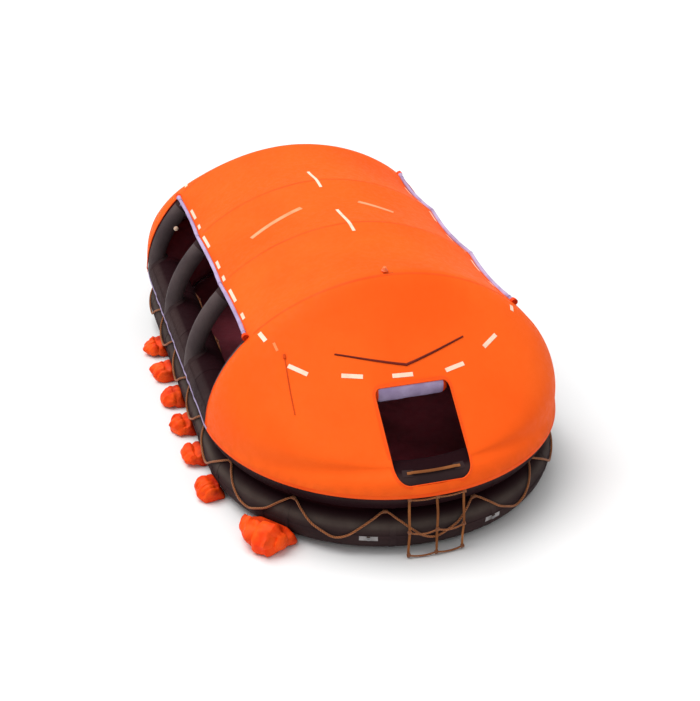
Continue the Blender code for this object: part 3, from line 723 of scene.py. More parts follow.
def make_arches():
    """Each arch tube with its joint bands and the collars at its feet, cut off at the canopy's side."""
    depth = SKIN + ARCH_CLEARANCE + ARCH_RADIUS
    low = section_angle(0.93)
    turns = np.linspace(low, math.pi - low, 90)
    x, z = section(turns, depth)
    for number, (node, y) in enumerate(ARCHES):
        path = join(x, y, z)
        beyond = path[0] + (path[0] - path[1]) * np.linspace(2.2, 0.6, 3)[:, None]
        far = path[-1] + (path[-1] - path[-2]) * np.linspace(0.6, 2.2, 3)[:, None]
        path = np.vstack([beyond, path, far])
        radius = ARCH_RADIUS - 0.001 + 0.0012 * noise(path, 0.3, 20 + number)
        rows = sweep(path, radius, ARCH_SIDES, up=(0, 1, 0))
        arch = capped(f"{node}_skin", rows, ARCH)
        settle(arch, "arch_fabric", node)
        grids = []
        for share in (0.22, 0.5, 0.78):
            middle = int(share * (len(path) - 1))
            piece = path[middle - 1:middle + 2]
            outer, inner = [sweep(piece, ARCH_RADIUS + grow, ARCH_SIDES, up=(0, 1, 0)) for grow in (0.0015, -0.003)]
            grids.append(np.concatenate([outer, inner[::-1]], axis=0))
        settle(looped(f"{node}_bands", grids, BAND))
        collars = []
        spin = circle_turns(40)
        for side, foot in ((-1, path[-4]), (1, path[3])):
            rings = []
            for grow, lift in ((0.0, 0.0), (0.004, 0.03), (0.045, 0.003), (0.05, -0.004)):
                plan_x = abs(foot[0]) - 0.012 + (ARCH_RADIUS + grow) * np.cos(spin)
                plan_x = np.minimum(plan_x, abs(foot[0]) + ARCH_RADIUS - 0.032)
                plan_y = y + (ARCH_RADIUS + grow) * np.sin(spin)
                beside = np.clip(plan_x - RING_RADIUS, -0.24, 0.24)
                top = UPPER_Z + np.sqrt(TUBE_RADIUS**2 - beside**2) + lift
                rings.append(join(side * plan_x, plan_y, top))
            collars.append(np.stack(rings))
        settle(build(f"{node}_collars", collars, BAND, wrap_u=True))


# The canopy: one sheet from hem to hem

# Steps from a side's hem to the opening's top, over the roof, along it, down an end and round the tube there
FLANK, ROOF, BAYS, SLOPE, LAPPED = 26, 104, 120, 64, 10
CANOPY_SAG = 0.045


def roof_sag(y):
    """How far the cloth hangs under the arches' line at this place along the raft."""
    places = [place for _, place in ARCHES]
    sag = np.zeros_like(y)
    for start, stop in zip(places, places[1:]):
        part = np.clip((y - start - 0.045) / (stop - start - 0.09), 0, 1)
        sag += CANOPY_SAG * (1 - (2 * part - 1) ** 2)
    return sag


def canopy_angles():
    """The section's angles from one side's hem to the other's."""
    low = section_angle(SIDE_OPENING_TOP)
    flank = np.linspace(0, low, FLANK + 1)
    roof = np.linspace(low, math.pi - low, ROOF + 1)
    return np.concatenate([flank, roof[1:], math.pi - flank[-2::-1]])


def end_rows(angles):
    """The front canopy's rows from below its crest to its hem on the tube's side."""
    crest_x, _ = section(angles)
    foot_x, foot_y, _ = hem_place(angles)
    reach = np.sin(np.linspace(0, math.pi / 2, SLOPE + 1)[1:])[:, None]
    x = crest_x + (foot_x - crest_x) * reach
    y = -CREST_Y + (foot_y + CREST_Y) * reach
    rise = join(x, y, end_canopy_z(x, y))
    share = np.linspace(1, 0, LAPPED + 1)[1:, None]
    wrap = join(*hem_place(angles[None, :], share))
    return np.concatenate([rise, wrap], axis=0)


def canopy_points():
    """The whole sheet's points, sagging between the arches and creased at the arches and hems."""
    angles = canopy_angles()
    y = np.linspace(-CREST_Y, CREST_Y, BAYS + 1)
    x, z = section(angles[None, :], roof_sag(y)[:, None] * (0.55 + 0.45 * np.sin(angles)[None, :]))
    roof = join(x, y[:, None], z)
    front = end_rows(angles)
    back = front * np.array([1, -1, 1])
    points = np.concatenate([front[::-1], roof, back], axis=0)
    first, last = len(front), len(front) + BAYS
    for _ in range(5):
        middle = (points[:-2] + 2 * points[1:-1] + points[2:]) / 4
        for row, reach in ((first, 4), (last, 4), (LAPPED, 2), (len(points) - 1 - LAPPED, 2)):
            points[row - reach:row + reach + 1] = middle[row - reach - 1:row + reach]
    normal = outward(grid_normals(points), points)
    along = np.abs(points[..., 1])
    on_roof = along < CREST_Y
    nearest = np.min([np.abs(points[..., 1] - place) for _, place in ARCHES], axis=0)
    end_loose = ease(along, CREST_Y, CREST_Y + 0.4) * ease(points[..., 2], 0.95, 1.25)
    loose = np.where(on_roof, ease(nearest, 0.08, 0.4), end_loose)
    lift = 0.007 * loose * noise(points, (0.55, 0.8, 0.5), 31)
    girth = points * np.array([1.0, 0.12, 1.0])
    lift += 0.0022 * ease(nearest, 0.30, 0.04) * on_roof * noise(girth, 0.075, 33)
    run = points * np.array([1.0, 1.0, 0.25])
    hem = ease(points[..., 2], 1.25, 0.86) * (along > CREST_Y)
    lift += hem * (0.0035 * noise(run, 0.10, 35) + 0.002 * noise(run, 0.045, 36)) * ease(points[..., 2], 0.78, 0.86)
    drape = join(points[..., 0] + 0.35 * points[..., 2], points[..., 1] * 0.3, points[..., 2] * 0.3)
    lift += 0.0022 * loose * ~on_roof * noise(drape, 0.16, 37)
    return points + normal * lift[..., None] + normal * 0.001


def door_outline(grow=0.0, corners=6):
    """The door's edge in X and Z, anticlockwise, with rounder corners at the bottom."""
    points = []
    for centre_x, centre_z, radius, start in (
        (DOOR_HALF_WIDTH - 0.07, DOOR_TOP - 0.07, 0.07, 0.0),
        (-DOOR_HALF_WIDTH + 0.07, DOOR_TOP - 0.07, 0.07, 0.5),
        (-DOOR_HALF_WIDTH + 0.15, DOOR_BOTTOM + 0.15, 0.15, 1.0),
        (DOOR_HALF_WIDTH - 0.15, DOOR_BOTTOM + 0.15, 0.15, 1.5),
    ):
        for step in range(corners + 1):
            turn = math.pi * (start + 0.5 * step / corners)
            points.append((centre_x + (radius + grow) * math.cos(turn), centre_z + (radius + grow) * math.sin(turn)))
    return np.array(points)


def cut_door(item, end):
    """Cuts the sheet along the door's edge and takes the piece out."""
    outline = door_outline()
    edges = np.roll(outline, -1, 0) - outline

    def near(face):
        x, y, z = face.calc_center_median()
        return y * end > 2.4 and abs(x) < DOOR_HALF_WIDTH + 0.04 and DOOR_BOTTOM - 0.04 < z < DOOR_TOP + 0.04

    def in_door(face):
        x, _, z = face.calc_center_median()
        from_corner = np.array([x, z]) - outline
        return (edges[:, 0] * from_corner[:, 1] - edges[:, 1] * from_corner[:, 0] > -1e-7).all()

    with edited(item) as builder:
        for (x, z), (edge_x, edge_z) in zip(outline, edges):
            faces = [face for face in builder.faces if near(face)]
            geometry = faces + list({edge for face in faces for edge in face.edges})
            geometry += list({vertex for face in faces for vertex in face.verts})
            normal = Vector((edge_z, 0, -edge_x))
            bmesh.ops.bisect_plane(builder, geom=geometry, dist=1e-5, plane_co=(x, 0, z), plane_no=normal)
        gone = [face for face in builder.faces if near(face) and in_door(face)]
        bmesh.ops.delete(builder, geom=gone, context="FACES")


def make_canopy():
    """The cloth with its openings; returns a tree to find places on it, and its points."""
    points = canopy_points()
    rows, columns = points.shape[0] - 1, points.shape[1] - 1
    keep = np.ones((rows, columns), bool)
    first = SLOPE + LAPPED
    keep[first:first + BAYS, :FLANK] = keep[first:first + BAYS, -FLANK:] = False
    canopy = build("canopy", points, [CANOPY, LINING], weld=0.0012, keep=keep.ravel())
    cast = BVHTree.FromPolygons([v.co.copy() for v in canopy.data.vertices],
                                [list(p.vertices) for p in canopy.data.polygons])
    for end in (-1, 1):
        cut_door(canopy, end)
    flip_outward(canopy)
    thicken(canopy, 0.004)
    shade(canopy, sharp=math.radians(60))
    grime_and_painted_light(canopy, lambda p: 0.22 * ease(p[:, 2], 0.98, 0.78) + 0.03)
    settle(canopy, "canopy_fabric", *CANOPIES)
    return cast, points


def flip_outward(item, middle=lambda centre: CABIN_MIDDLE):
    """Turns an open sheet so that its faces look away from the cabin, or from another middle."""
    with edited(item) as builder:
        bmesh.ops.recalc_face_normals(builder, faces=builder.faces)
        centres = [face.calc_center_median() for face in builder.faces]
        if sum(face.normal.dot(centre - Vector(middle(centre))) for face, centre in zip(builder.faces, centres)) < 0:
            bmesh.ops.reverse_faces(builder, faces=builder.faces)


# Strips and cords that lie on the canopy


def on_canopy(points):
    """The nearest places on the canopy's outer side, and its outward direction there."""
    points = np.asarray(points, float)
    hits = [canopy_tree.find_nearest(Vector(point)) for point in points.reshape(-1, 3)]
    places = np.array([hit[0] for hit in hits]).reshape(points.shape)
    normals = np.array([hit[1] for hit in hits]).reshape(points.shape)
    return places, outward(normals, places)


def at_door(x, z, end):
    """Places on an end canopy seen straight along the raft at these X and Z."""
    places, normals = [], []
    for one_x, one_z in zip(np.ravel(x), np.ravel(z)):
        hit = canopy_tree.ray_cast(Vector((one_x, end * 6, one_z)), Vector((0, -end, 0)))
        places.append(hit[0])
        normals.append(hit[1])
    places = np.array(places).reshape(*np.shape(x), 3)
    return places, outward(np.array(normals).reshape(places.shape), places)


def strip(path, width, thickness=0.0012, lift=0.0012):
    """A flat band on the canopy, as a closed grid of points round it."""
    centre, normals = on_canopy(path)
    side = unit(np.cross(unit(np.gradient(centre, axis=0)), normals))
    offsets = np.array([-width / 2, 0.0, width / 2])
    points, normals = on_canopy(centre[:, None] + side[:, None] * offsets[None, :, None])
    return slab(points, normals, thickness, lift)


def between(start, stop, count=8):
    return np.linspace(start, stop, count)


def cord_on_canopy(name, path, radius, flat):
    places, normals = on_canopy(path)
    return capped(name, sweep(places + normals * radius * flat * 0.8, radius, 12, up=normals, flat=flat), CORD)


# Round an end, each tape's middle and length
RING_TAPES = ((-1.49, -2.32, 2.0), (-1.21, -2.81, 1.80), (-0.64, -2.99, 1.73), (-0.07, -3.05, 1.69),
              (0.55, -3.04, 1.69), (1.06, -2.81, 1.83), (1.50, -2.36, 1.95))
RING_TAPE_LENGTHS = (0.16, 0.24, 0.24, 0.24, 0.24, 0.24, 0.09)
TAPE_WIDTH = 0.05

# Along each side, as (middle's Y, length)
SIDE_TAPES = ((1.45, 0.30), (1.0, 0.15), (0.49, 0.30), (-0.2, 0.22), (-0.64, 0.15), (-1.1, 0.30), (-1.64, 0.15))


def make_tapes():
    """Reflective tape: a ring on each end, a row over each side and a cross on the roof."""
    centres = np.array(RING_TAPES)
    ahead = unit(np.gradient(centres, axis=0))
    ahead[0], ahead[-1] = unit(np.array([[0.22, -1.0, -0.15], [0.22, 1.0, 0.15]]))
    for name, end in ENDS:
        turn = np.array([1, -end, 1])
        grids = []
        for centre, way, length in zip(centres, ahead, RING_TAPE_LENGTHS):
            path = between(centre - way * length / 2, centre + way * length / 2) * turn
            grids.append(strip(path, TAPE_WIDTH))
        settle(capped(f"tapes_{name}", grids, TAPE))
    edge = section_angle(1.945)
    x, z = section(np.array(edge))
    for name, side in SIDES:
        grids = []
        for middle, length in SIDE_TAPES:
            start, stop = (side * x, middle - length / 2, z), (side * x, middle + length / 2, z)
            grids.append(strip(between(start, stop), TAPE_WIDTH * 0.8))
        settle(capped(f"tapes_{name}", grids, TAPE))
    cross = (
        ((-0.02, 1.14, 2.54), (-0.01, 0.52, 2.54), 0.038), ((0, -0.19, 2.54), (0, -0.94, 2.54), 0.040),
        ((-1.13, -0.17, 2.25), (-0.41, 0.06, 2.5), 0.075), ((0.36, 0.04, 2.51), (0.77, -0.20, 2.41), 0.070),
    )
    for name, pieces, paint in (("tapes_roof", cross[:2], TAPE), ("tapes_roof_faded", cross[2:], WORN_TAPE)):
        grids = [strip(between(start, stop, 14), width) for start, stop, width in pieces]
        settle(capped(name, grids, paint))


def make_gutters():
    """The V over each door that leads rain aside, and the cord tied at the front canopy's corner."""
    corners = np.array([(-0.78, -2.77, 1.91), (-0.40, -2.875, 1.835), (-0.04, -2.955, 1.77),
                        (0.04, -2.955, 1.77), (0.38, -2.875, 1.835), (0.74, -2.77, 1.91)])
    path = spline(corners, 12)
    for name, end in ENDS:
        places, normals = on_canopy(path * np.array([1, -end, 1]))
        taper = 0.013 * (0.75 + 0.45 * (1 - np.abs(path[:, 0]) / 0.78))
        rows = sweep(places + normals * 0.003, taper, 12, up=normals, flat=0.6)
        settle(capped(f"rain_gutter_{name}", rows, GUTTER))
    line = np.array([(-1.315, -2.62, 1.905), (-1.318, -2.66, 1.88), (-1.329, -2.814, 1.758), (-1.339, -2.98, 1.626),
                     (-1.343, -3.181, 1.465)])
    knob = cord_on_canopy("tie_knob", line[:2], 0.016, 0.8)
    tie = cord_on_canopy("tie_line", spline(line, 8), 0.007, 0.6)
    # The tab is painted paler, as a small highlight by the tie.
    tab = strip(between((-1.394, -2.463, 1.983), (-1.375, -2.557, 1.929)), 0.03)
    settle(merge("corner_tie", [knob, tie, capped("tie_tab", tab, TAB_HIGHLIGHT)]))


def make_edges(points):
    """Piping along the canopy's side openings, seams over the arches and the hem's band."""
    first, last = SLOPE + LAPPED, SLOPE + LAPPED + BAYS
    paths = [points[first:last + 1, column] for column in (FLANK, -FLANK - 1)]
    for row in (first, last):
        paths += [points[row, 1:FLANK + 1], points[row, -FLANK - 1:-1]]
    settle(rope("canopy_piping", [path - [0, 0, 0.002] for path in paths], 0.008, EDGE, 8))
    # Seams over the arches in the darker seam cloth, which paints a thin line of shade along each arch.
    grids = []
    for y in (-CREST_Y, -INNER_ARCH_Y, INNER_ARCH_Y, CREST_Y):
        row = np.argmin(np.abs(points[:, points.shape[1] // 2, 1] - y))
        grids.append(strip(points[row, FLANK + 2:-FLANK - 2], 0.03, 0.0008, 0.0005))
    settle(capped("canopy_seams", grids, EDGE))
    grids = [strip(row[1:-1] + [0, 0, 0.02], 0.04, 0.0015, 0.0005) for row in (points[0], points[-1])]
    settle(capped("canopy_hem", grids, EDGE))


def make_door_edges():
    """The sewn band round each door and the piping on its edge."""
    for name, end in ENDS:
        inner, outer = door_outline(0.004, 8), door_outline(0.028, 8)
        shares = np.array([0.0, 0.5, 1.0])[None, :, None]
        plan = inner[:, None] * (1 - shares) + outer[:, None] * shares
        places, normals = at_door(plan[..., 0], plan[..., 1], end)
        rows = slab(places, normals, 0.0014, 0.0006)
        band = looped(f"door_band_{name}", rows, EDGE)
        piping = door_outline(0.001, 8)
        places, normals = at_door(piping[:, 0], piping[:, 1], end)
        cord = rope(f"door_piping_{name}", [places - normals * 0.002], 0.009, EDGE, 10, closed=True, up=normals)
        settle(merge(f"door_edge_{name}", [band, cord]))


# Rolled curtains, hems and straps


def spiral(inner, outer, turns, per_turn, start):
    """A rolled cloth's section, from its core to its free edge at the angle start, as (across, up)."""
    last = turns - 1.5
    inside = np.linspace(0, last, int(last * per_turn), endpoint=False)
    phase = 2 * math.pi * np.concatenate([inside, np.linspace(last, turns, 37)])
    radius = inner + (outer - inner) * phase / phase[-1]
    angle = phase - phase[-1] + start
    return join(radius * np.cos(angle), radius * np.sin(angle))


def tie_bands(name, middles, across, radius, width=0.02):
    """Loops of webbing round a roll at these places, with hanging ends."""
    spin = circle_turns(28)
    around = across * np.cos(spin)[:, None] + UP * np.sin(spin)[:, None]
    side = unit(np.cross(across, UP)) * width / 2
    thick = across * 0.0012
    loops, tails = [], []
    for middle in middles:
        loops.append(np.stack([middle + side * sign + around * (radius + grow)
                               for sign, grow in ((-1, 0.0), (-1, 0.003), (1, 0.003), (1, 0.0))]))
        tail = middle + np.array([[0, 0, -radius - 0.002], [0, 0, -radius - 0.03], [0, 0, -radius - 0.055]])
        tail = tail + across * np.array([0.0, 0.004, 0.012])[:, None]
        edges = [tail - side - thick, tail + side - thick, tail + side + thick, tail - side + thick]
        tails.append(np.stack(edges, axis=1))
    return merge(name, [looped(name + "_loops", loops, PALE), capped(name + "_tails", tails, PALE)])


def cloth(name, points, materials, thickness, middle=lambda centre: CABIN_MIDDLE, cuff=None):
    """A sheet with its outer side away from middle; beyond cuff, an (axis, limit), it has its inner side's cloth."""
    item = build(name, points, materials)
    flip_outward(item, middle)
    for face in item.data.polygons:
        if cuff and abs(face.center[cuff[0]]) > cuff[1]:
            face.material_index = 1
    thicken(item, thickness)
    shade(item)
    return item


def roll_line(along):
    """X and Z of the middle of the right side's rolled curtain, which hangs with the roof's edge between arches."""
    turn = section_angle(SIDE_OPENING_TOP)
    edge = np.array(section(np.array(turn)))
    inward = np.array(section(np.array(turn), 1.0)) - edge
    down = np.array([-inward[1], inward[0]])
    reach = ROLL_RADIUS - SKIN
    offset = -reach * inward + (math.sqrt(ROLL_RADIUS**2 - reach**2) + GAP) * down
    x, z = section(turn, roof_sag(np.asarray(along, float)) * (0.55 + 0.45 * math.sin(turn)))
    return x + offset[0], z + offset[1]


def make_side_curtains():
    """The curtains rolled up under the roof's edges, pinched by their ties, with swollen ends."""
    half = CREST_Y - 0.02
    along = np.linspace(-half, half, 131)
    middle_x, middle_z = roll_line(along)
    ties = (-2.0, -INNER_ARCH_Y, INNER_ARCH_Y, 2.0)
    pinch = sum(np.exp(-((along - tie) / 0.045) ** 2) for tie in ties)
    profile = spiral(0.003, 0.025, 11, 10, math.pi / 2)
    for name, side in SIDES:
        def middle_at(y):
            x, z = roll_line(y)
            return np.array([side * x, y, z])

        swell = 1.0 - 0.10 * pinch + 0.05 * noise(join(along, side, 0.0), 0.17, 51)
        swell += 0.75 * ease(np.abs(along), half - 0.10, half - 0.04)
        x = side * (middle_x[:, None] + profile[None, :, 0] * swell[:, None])
        z = middle_z[:, None] + profile[None, :, 1] * swell[:, None]
        points = join(x, along[:, None], z)
        points[..., 0] += noise(points * np.array([1, 0.6, 1]), 0.035, 53) * 0.0016 * side
        roll = cloth(f"side_roll_{name}", points, [PALE, INNER], 0.001, lambda p: middle_at(p.y), (1, half - 0.06))
        settle(roll, "curtain_lining", f"side_curtain_{name}")
        settle(tie_bands(f"side_ties_{name}", [middle_at(y) for y in ties], np.array([side, 0.0, 0.0]), 0.0250))


def make_door_curtains():
    """The cloth rolled up over each door, narrower at its ends."""
    places, _ = at_door(np.array([0.0]), np.array([DOOR_TOP + 0.006]), -1)
    middle_y, z = places[0][1], DOOR_TOP - 0.094
    along = (DOOR_HALF_WIDTH - 0.012) * np.sin(np.linspace(-math.pi / 2, math.pi / 2, 81))
    profile = spiral(0.014, 0.050, 3.6, 18, math.pi / 2) * np.array([0.75, 1.92])
    for name, end in ENDS:
        swell = 1.0 + 0.05 * noise(join(along, end, 0.0), 0.16, 61)
        swell *= np.sqrt(1 - 0.85 * np.clip((np.abs(along) - DOOR_HALF_WIDTH + 0.10) / 0.088, 0, 1) ** 2)
        y = -end * middle_y + end * profile[None, :, 0] * swell[:, None]
        high = z + profile[None, :, 1] * swell[:, None]
        points = join(along[:, None], y, high)
        points[..., 1] += noise(points * np.array([0.5, 1, 1]), 0.03, 62) * 0.002
        roll = cloth(f"door_roll_{name}", points, [PALE, INNER], 0.002, lambda p: (p.x, -end * middle_y, z),
                     (0, DOOR_HALF_WIDTH - 0.055))
        settle(roll, "curtain_lining", f"door_curtain_{name}")


def make_side_hems():
    """The cloth along each side of the upper tube, which the curtain fastens to, and its pale binding."""
    along = np.linspace(-CREST_Y + 0.012, CREST_Y - 0.012, 150)
    turns = np.radians(np.linspace(-2, 33, 15))
    y = along[:, None]
    for name, side in SIDES:
        plan = join(y, side, turns * TUBE_RADIUS)
        wave = 0.5 + 0.5 * noise(plan * np.array([1, 1, 0.35]), 0.11, 71)
        free = (1 - ease(turns, 0.0, 0.35)[None, :]) * ease(CREST_Y - np.abs(along), 0.02, 0.2)[:, None]
        reach = TUBE_RADIUS + 0.0035 + wave * (0.002 + 0.010 * free)
        beyond = np.maximum(np.abs(y) - END_Y, 0)
        x = np.sqrt((RING_RADIUS + reach * np.cos(turns)) ** 2 - beyond**2)
        points = join(side * x, y, UPPER_Z + reach * np.sin(turns))
        hem = cloth(f"side_apron_{name}", points, BAND, 0.002)
        settle(hem, "curtain_lining", f"side_hem_{name}")
        edge = points[:, 0] + np.array([side * 0.001, 0.0, 0.008])
        settle(rope(f"side_binding_{name}", [edge], 0.021, BINDING, 10, up=(side, 0, 0), flat=0.28))


def tube_pad(middle, half, turn):
    """A thin patch on the upper tube, this far along the ring and turned this far round the tube."""
    along = middle + np.linspace(-half, half, 5)
    across = turn + np.linspace(-0.16, 0.16, 5)
    return slab(tube_grid(along, across, UPPER_Z, TUBE_RADIUS), off_tube(along[:, None], across[None, :]), 0.002)


def make_sill_straps():
    """A strap to climb in by across each sill, held by a patch at each end."""
    turn = math.radians(60)
    angles = np.linspace(math.radians(81.3), math.radians(98.7), 30)
    share = np.linspace(-1, 1, 30)
    for name, end in ENDS:
        hold = ease(np.abs(share), 0.75, 0.95)
        reach = TUBE_RADIUS + 0.004 + 0.016 * (1 - hold)
        distance = end_distance(angles, end)
        path = sweep(on_tube(distance, turn, UPPER_Z, reach), 0.017, 12, up=off_tube(distance, turn), flat=0.25)
        band = capped(f"sill_band_{name}", path, TAN)
        pads = [tube_pad(end_distance(math.radians(angle), end), 0.06, turn) for angle in (81.6, 98.4)]
        pad = capped(f"sill_pads_{name}", pads, BAND)
        settle(merge(f"sill_{name}", [band, pad]), "rope", f"sill_strap_{name}")


# Ropes and ladders

ROPE_RADIUS = 0.0135


def coils(middle, ahead, radius, wire, count, pitch):
    """Paths of rings side by side round a rope, which make a lashing."""
    ahead = unit(np.asarray(ahead, float))
    side = unit(np.cross(ahead, UP if abs(ahead[2]) < 0.9 else (1, 0, 0)))
    high = np.cross(side, ahead)
    spin = circle_turns(14)
    loops = []
    for number in range(count):
        offset = (number - (count - 1) / 2) * pitch
        grow = radius + wire * (0.35 if number % 2 else 0.0)
        loop = middle + ahead * offset + grow * (side * np.cos(spin)[:, None] + high * np.sin(spin)[:, None])
        loops.append(sweep(loop, wire, 6, closed=True, up=ahead))
    return loops


def make_lifelines():
    """Each lifeline hangs in swags; its knots are (swag, turn in degrees, distance from the tube's middle)."""
    crease = math.degrees(math.acos(math.sqrt(1 - (TUBE_RADIUS / (TUBE_RADIUS + KNOT_RADIUS)) ** 2)))
    for name, z, swags, turns in (
        ("outer", LOWER_Z, OUTER_SWAGS, [crease, 45, 22, 4, -6]), ("inner", UPPER_Z, INNER_SWAGS, [180, 190, 200]),
    ):
        cycle = turns + turns[-2:0:-1]
        knots = []
        for swag in range(swags):
            for step, turn in enumerate(cycle):
                loose = 0.018 if step == 0 else ROPE_RADIUS + 0.002 * math.sin(5 * swag + step)
                limp = 2.0 * math.sin(3 * swag + 2 * step) if step else 0.0
                knots.append((swag + 0.5 + step / len(cycle), turn + limp, TUBE_RADIUS + loose + 0.004))
        knots.append((swags + 0.5, *knots[0][1:]))
        curve = spline(np.array(knots), 5)[:-1]
        path = on_tube(curve[:, 0] * LAP / swags, np.radians(curve[:, 1]), z, curve[:, 2])
        line = looped(f"lifeline_{name}_rope", sweep(path, ROPE_RADIUS, 10, closed=True), ROPE)
        lashings = []
        for swag in range(swags):
            index = swag * len(cycle) * 5
            ahead = path[(index + 1) % len(path)] - path[index - 1]
            lashings += coils(path[index], ahead, 0.0165, 0.0055, 5, 0.0105)
        knot = looped(f"lifeline_{name}_knots", lashings, ROPE)
        if name == "inner":
            pads = [tube_pad((swag + 0.5) * LAP / swags, 0.07, math.pi) for swag in range(swags)]
            settle(capped("lifeline_pads", pads, BAND))
        settle(merge(f"lifeline_{name}_line", [line, knot]), "rope", f"lifeline_{name}")


def make_ladders():
    """Webbing uprights, rope rungs that hang in each half, and their lashings."""
    lean = math.tan(math.radians(15))
    top = UPPER_Z - 0.008
    stand = HALF_WIDTH + LADDER_STAND_OFF
    corners = [(top, HALF_WIDTH + 0.001 - 0.008 * lean), (top - 0.03, HALF_WIDTH + 0.001 - 0.038 * lean),
               (0.66, HALF_WIDTH + 0.012), (0.52, HALF_WIDTH + 0.038), (0.37, stand), (0.2, stand - 0.004),
               (0.08, stand), (0.012, stand + 0.004)]
    rungs = ((top - 0.015, 0.012, HALF_WIDTH + 0.004), (0.355, 0.035, stand), (0.045, 0.022, stand))
    rail = spline(np.array(corners), 8)
    for name, end in ENDS:
        def put(x, radius, z):
            return join(x, end * (END_Y + np.sqrt(radius**2 - x**2)), z)

        uprights = []
        for x in LADDER_RAILS_X:
            height, radius = rail[:, :1], rail[:, 1:]
            points = put(x + np.linspace(-0.014, 0.014, 3) + 0.003 * np.sin(height * 14 + x * 9), radius, height)
            normal = grid_normals(points)
            normal *= np.sign(normal[..., 1:2] * end)
            uprights.append(slab(points, normal, 0.0035))
        rails = capped(f"ladder_rails_{name}", uprights, TAN)
        lines, lashings = [], []
        for z, sag, out in rungs:
            for side in (-1, 1):
                share = np.linspace(0, 1, 15)
                x = side * share * (LADDER_SIDE_X + 0.008)
                drop = z - sag * 4 * share * (1 - share)
                lines.append(sweep(put(x, out + 0.008, drop), 0.011, 10))
            for x in LADDER_RAILS_X:
                at = put(np.array([x]), out + 0.008, z)[0]
                lashings += coils(at, (1, 0, 0), 0.0155, 0.005, 4, 0.0095)
        ropes = capped(f"ladder_rungs_{name}", lines, ROPE)
        knots = looped(f"ladder_knots_{name}", lashings, ROPE)
        settle(merge(f"ladder_{name}", [rails, ropes, knots]), "rope", f"boarding_ladder_{name}")


# Water pockets, patches and the lamp

# The bag's section as (outward, height), and its depth's share at places along it
POCKET_INNER = ((-0.09, 0.0), (-0.035, LOWER_Z / 2), (-0.008, 0.20), (0.06, 0.20))
POCKET_OUTER = ((0.12, 0.22), (0.20, 0.19), (0.27, 0.10), (0.23, 0.0))
POCKET_STEPS = ((-1.0, 0.55), (-0.55, 1.0), (0.55, 1.0), (1.0, 0.55))


def pocket_grid(size, seed):
    """A limp bag beside the origin at +X: rows of points round its section."""
    share_at = np.array(POCKET_STEPS)
    stations = np.sin(np.linspace(-math.pi / 2, math.pi / 2, 38))
    rows = []
    for place in stations:
        share = np.interp(place, share_at[:, 0], share_at[:, 1])
        side = HALF_WIDTH + 2 * GAP + 0.06 * (1 - share)
        corners = np.array([*POCKET_INNER, *[(out * size, z * size) for out, z in POCKET_OUTER]])
        x = side + np.where(corners[:, 0] > 0, corners[:, 0] * share, corners[:, 0])
        polygon = join(x, corners[:, 1] * (1 + share) / 2)
        steps = np.linspace(0, 1, 6, endpoint=False)[None, :, None]
        dense = (polygon[:, None] * (1 - steps) + np.roll(polygon, -1, 0)[:, None] * steps).reshape(-1, 2)
        for _ in range(2):
            dense = (np.roll(dense, 1, 0) + 2 * dense + np.roll(dense, -1, 0)) / 4
        shrink = math.sqrt(max(0.02, 1 - max(0.0, (abs(place) - 0.86) / 0.14) ** 2 * 0.97))
        middle = dense.mean(axis=0)
        rows.append(middle + (dense - middle) * shrink)
    rows = np.array(rows)
    points = join(rows[..., 0], (stations * 0.19 * size)[:, None], rows[..., 1])
    core = join(rows[..., 0].mean(1), stations * 0.16 * size, rows[..., 1].mean(1))[:, None]
    away = unit(points - core)
    outer = ease(points[..., 0], HALF_WIDTH - 0.01, HALF_WIDTH + 0.08)
    fan = points * np.array([0.4, 1.0, 0.45])
    crease = 0.034 * folds(fan + seed * 3.7, 0.12 * size, seed)
    crease = crease + 0.016 * folds(fan - seed * 1.9, 0.055 * size, seed + 1)
    crease += 0.004 * folds(points, 0.03 * size, seed + 2)
    points = points - away * ((crease + 0.004) * outer)[..., None] * size
    points[..., 2] = np.maximum(points[..., 2], 0.0015)
    return points


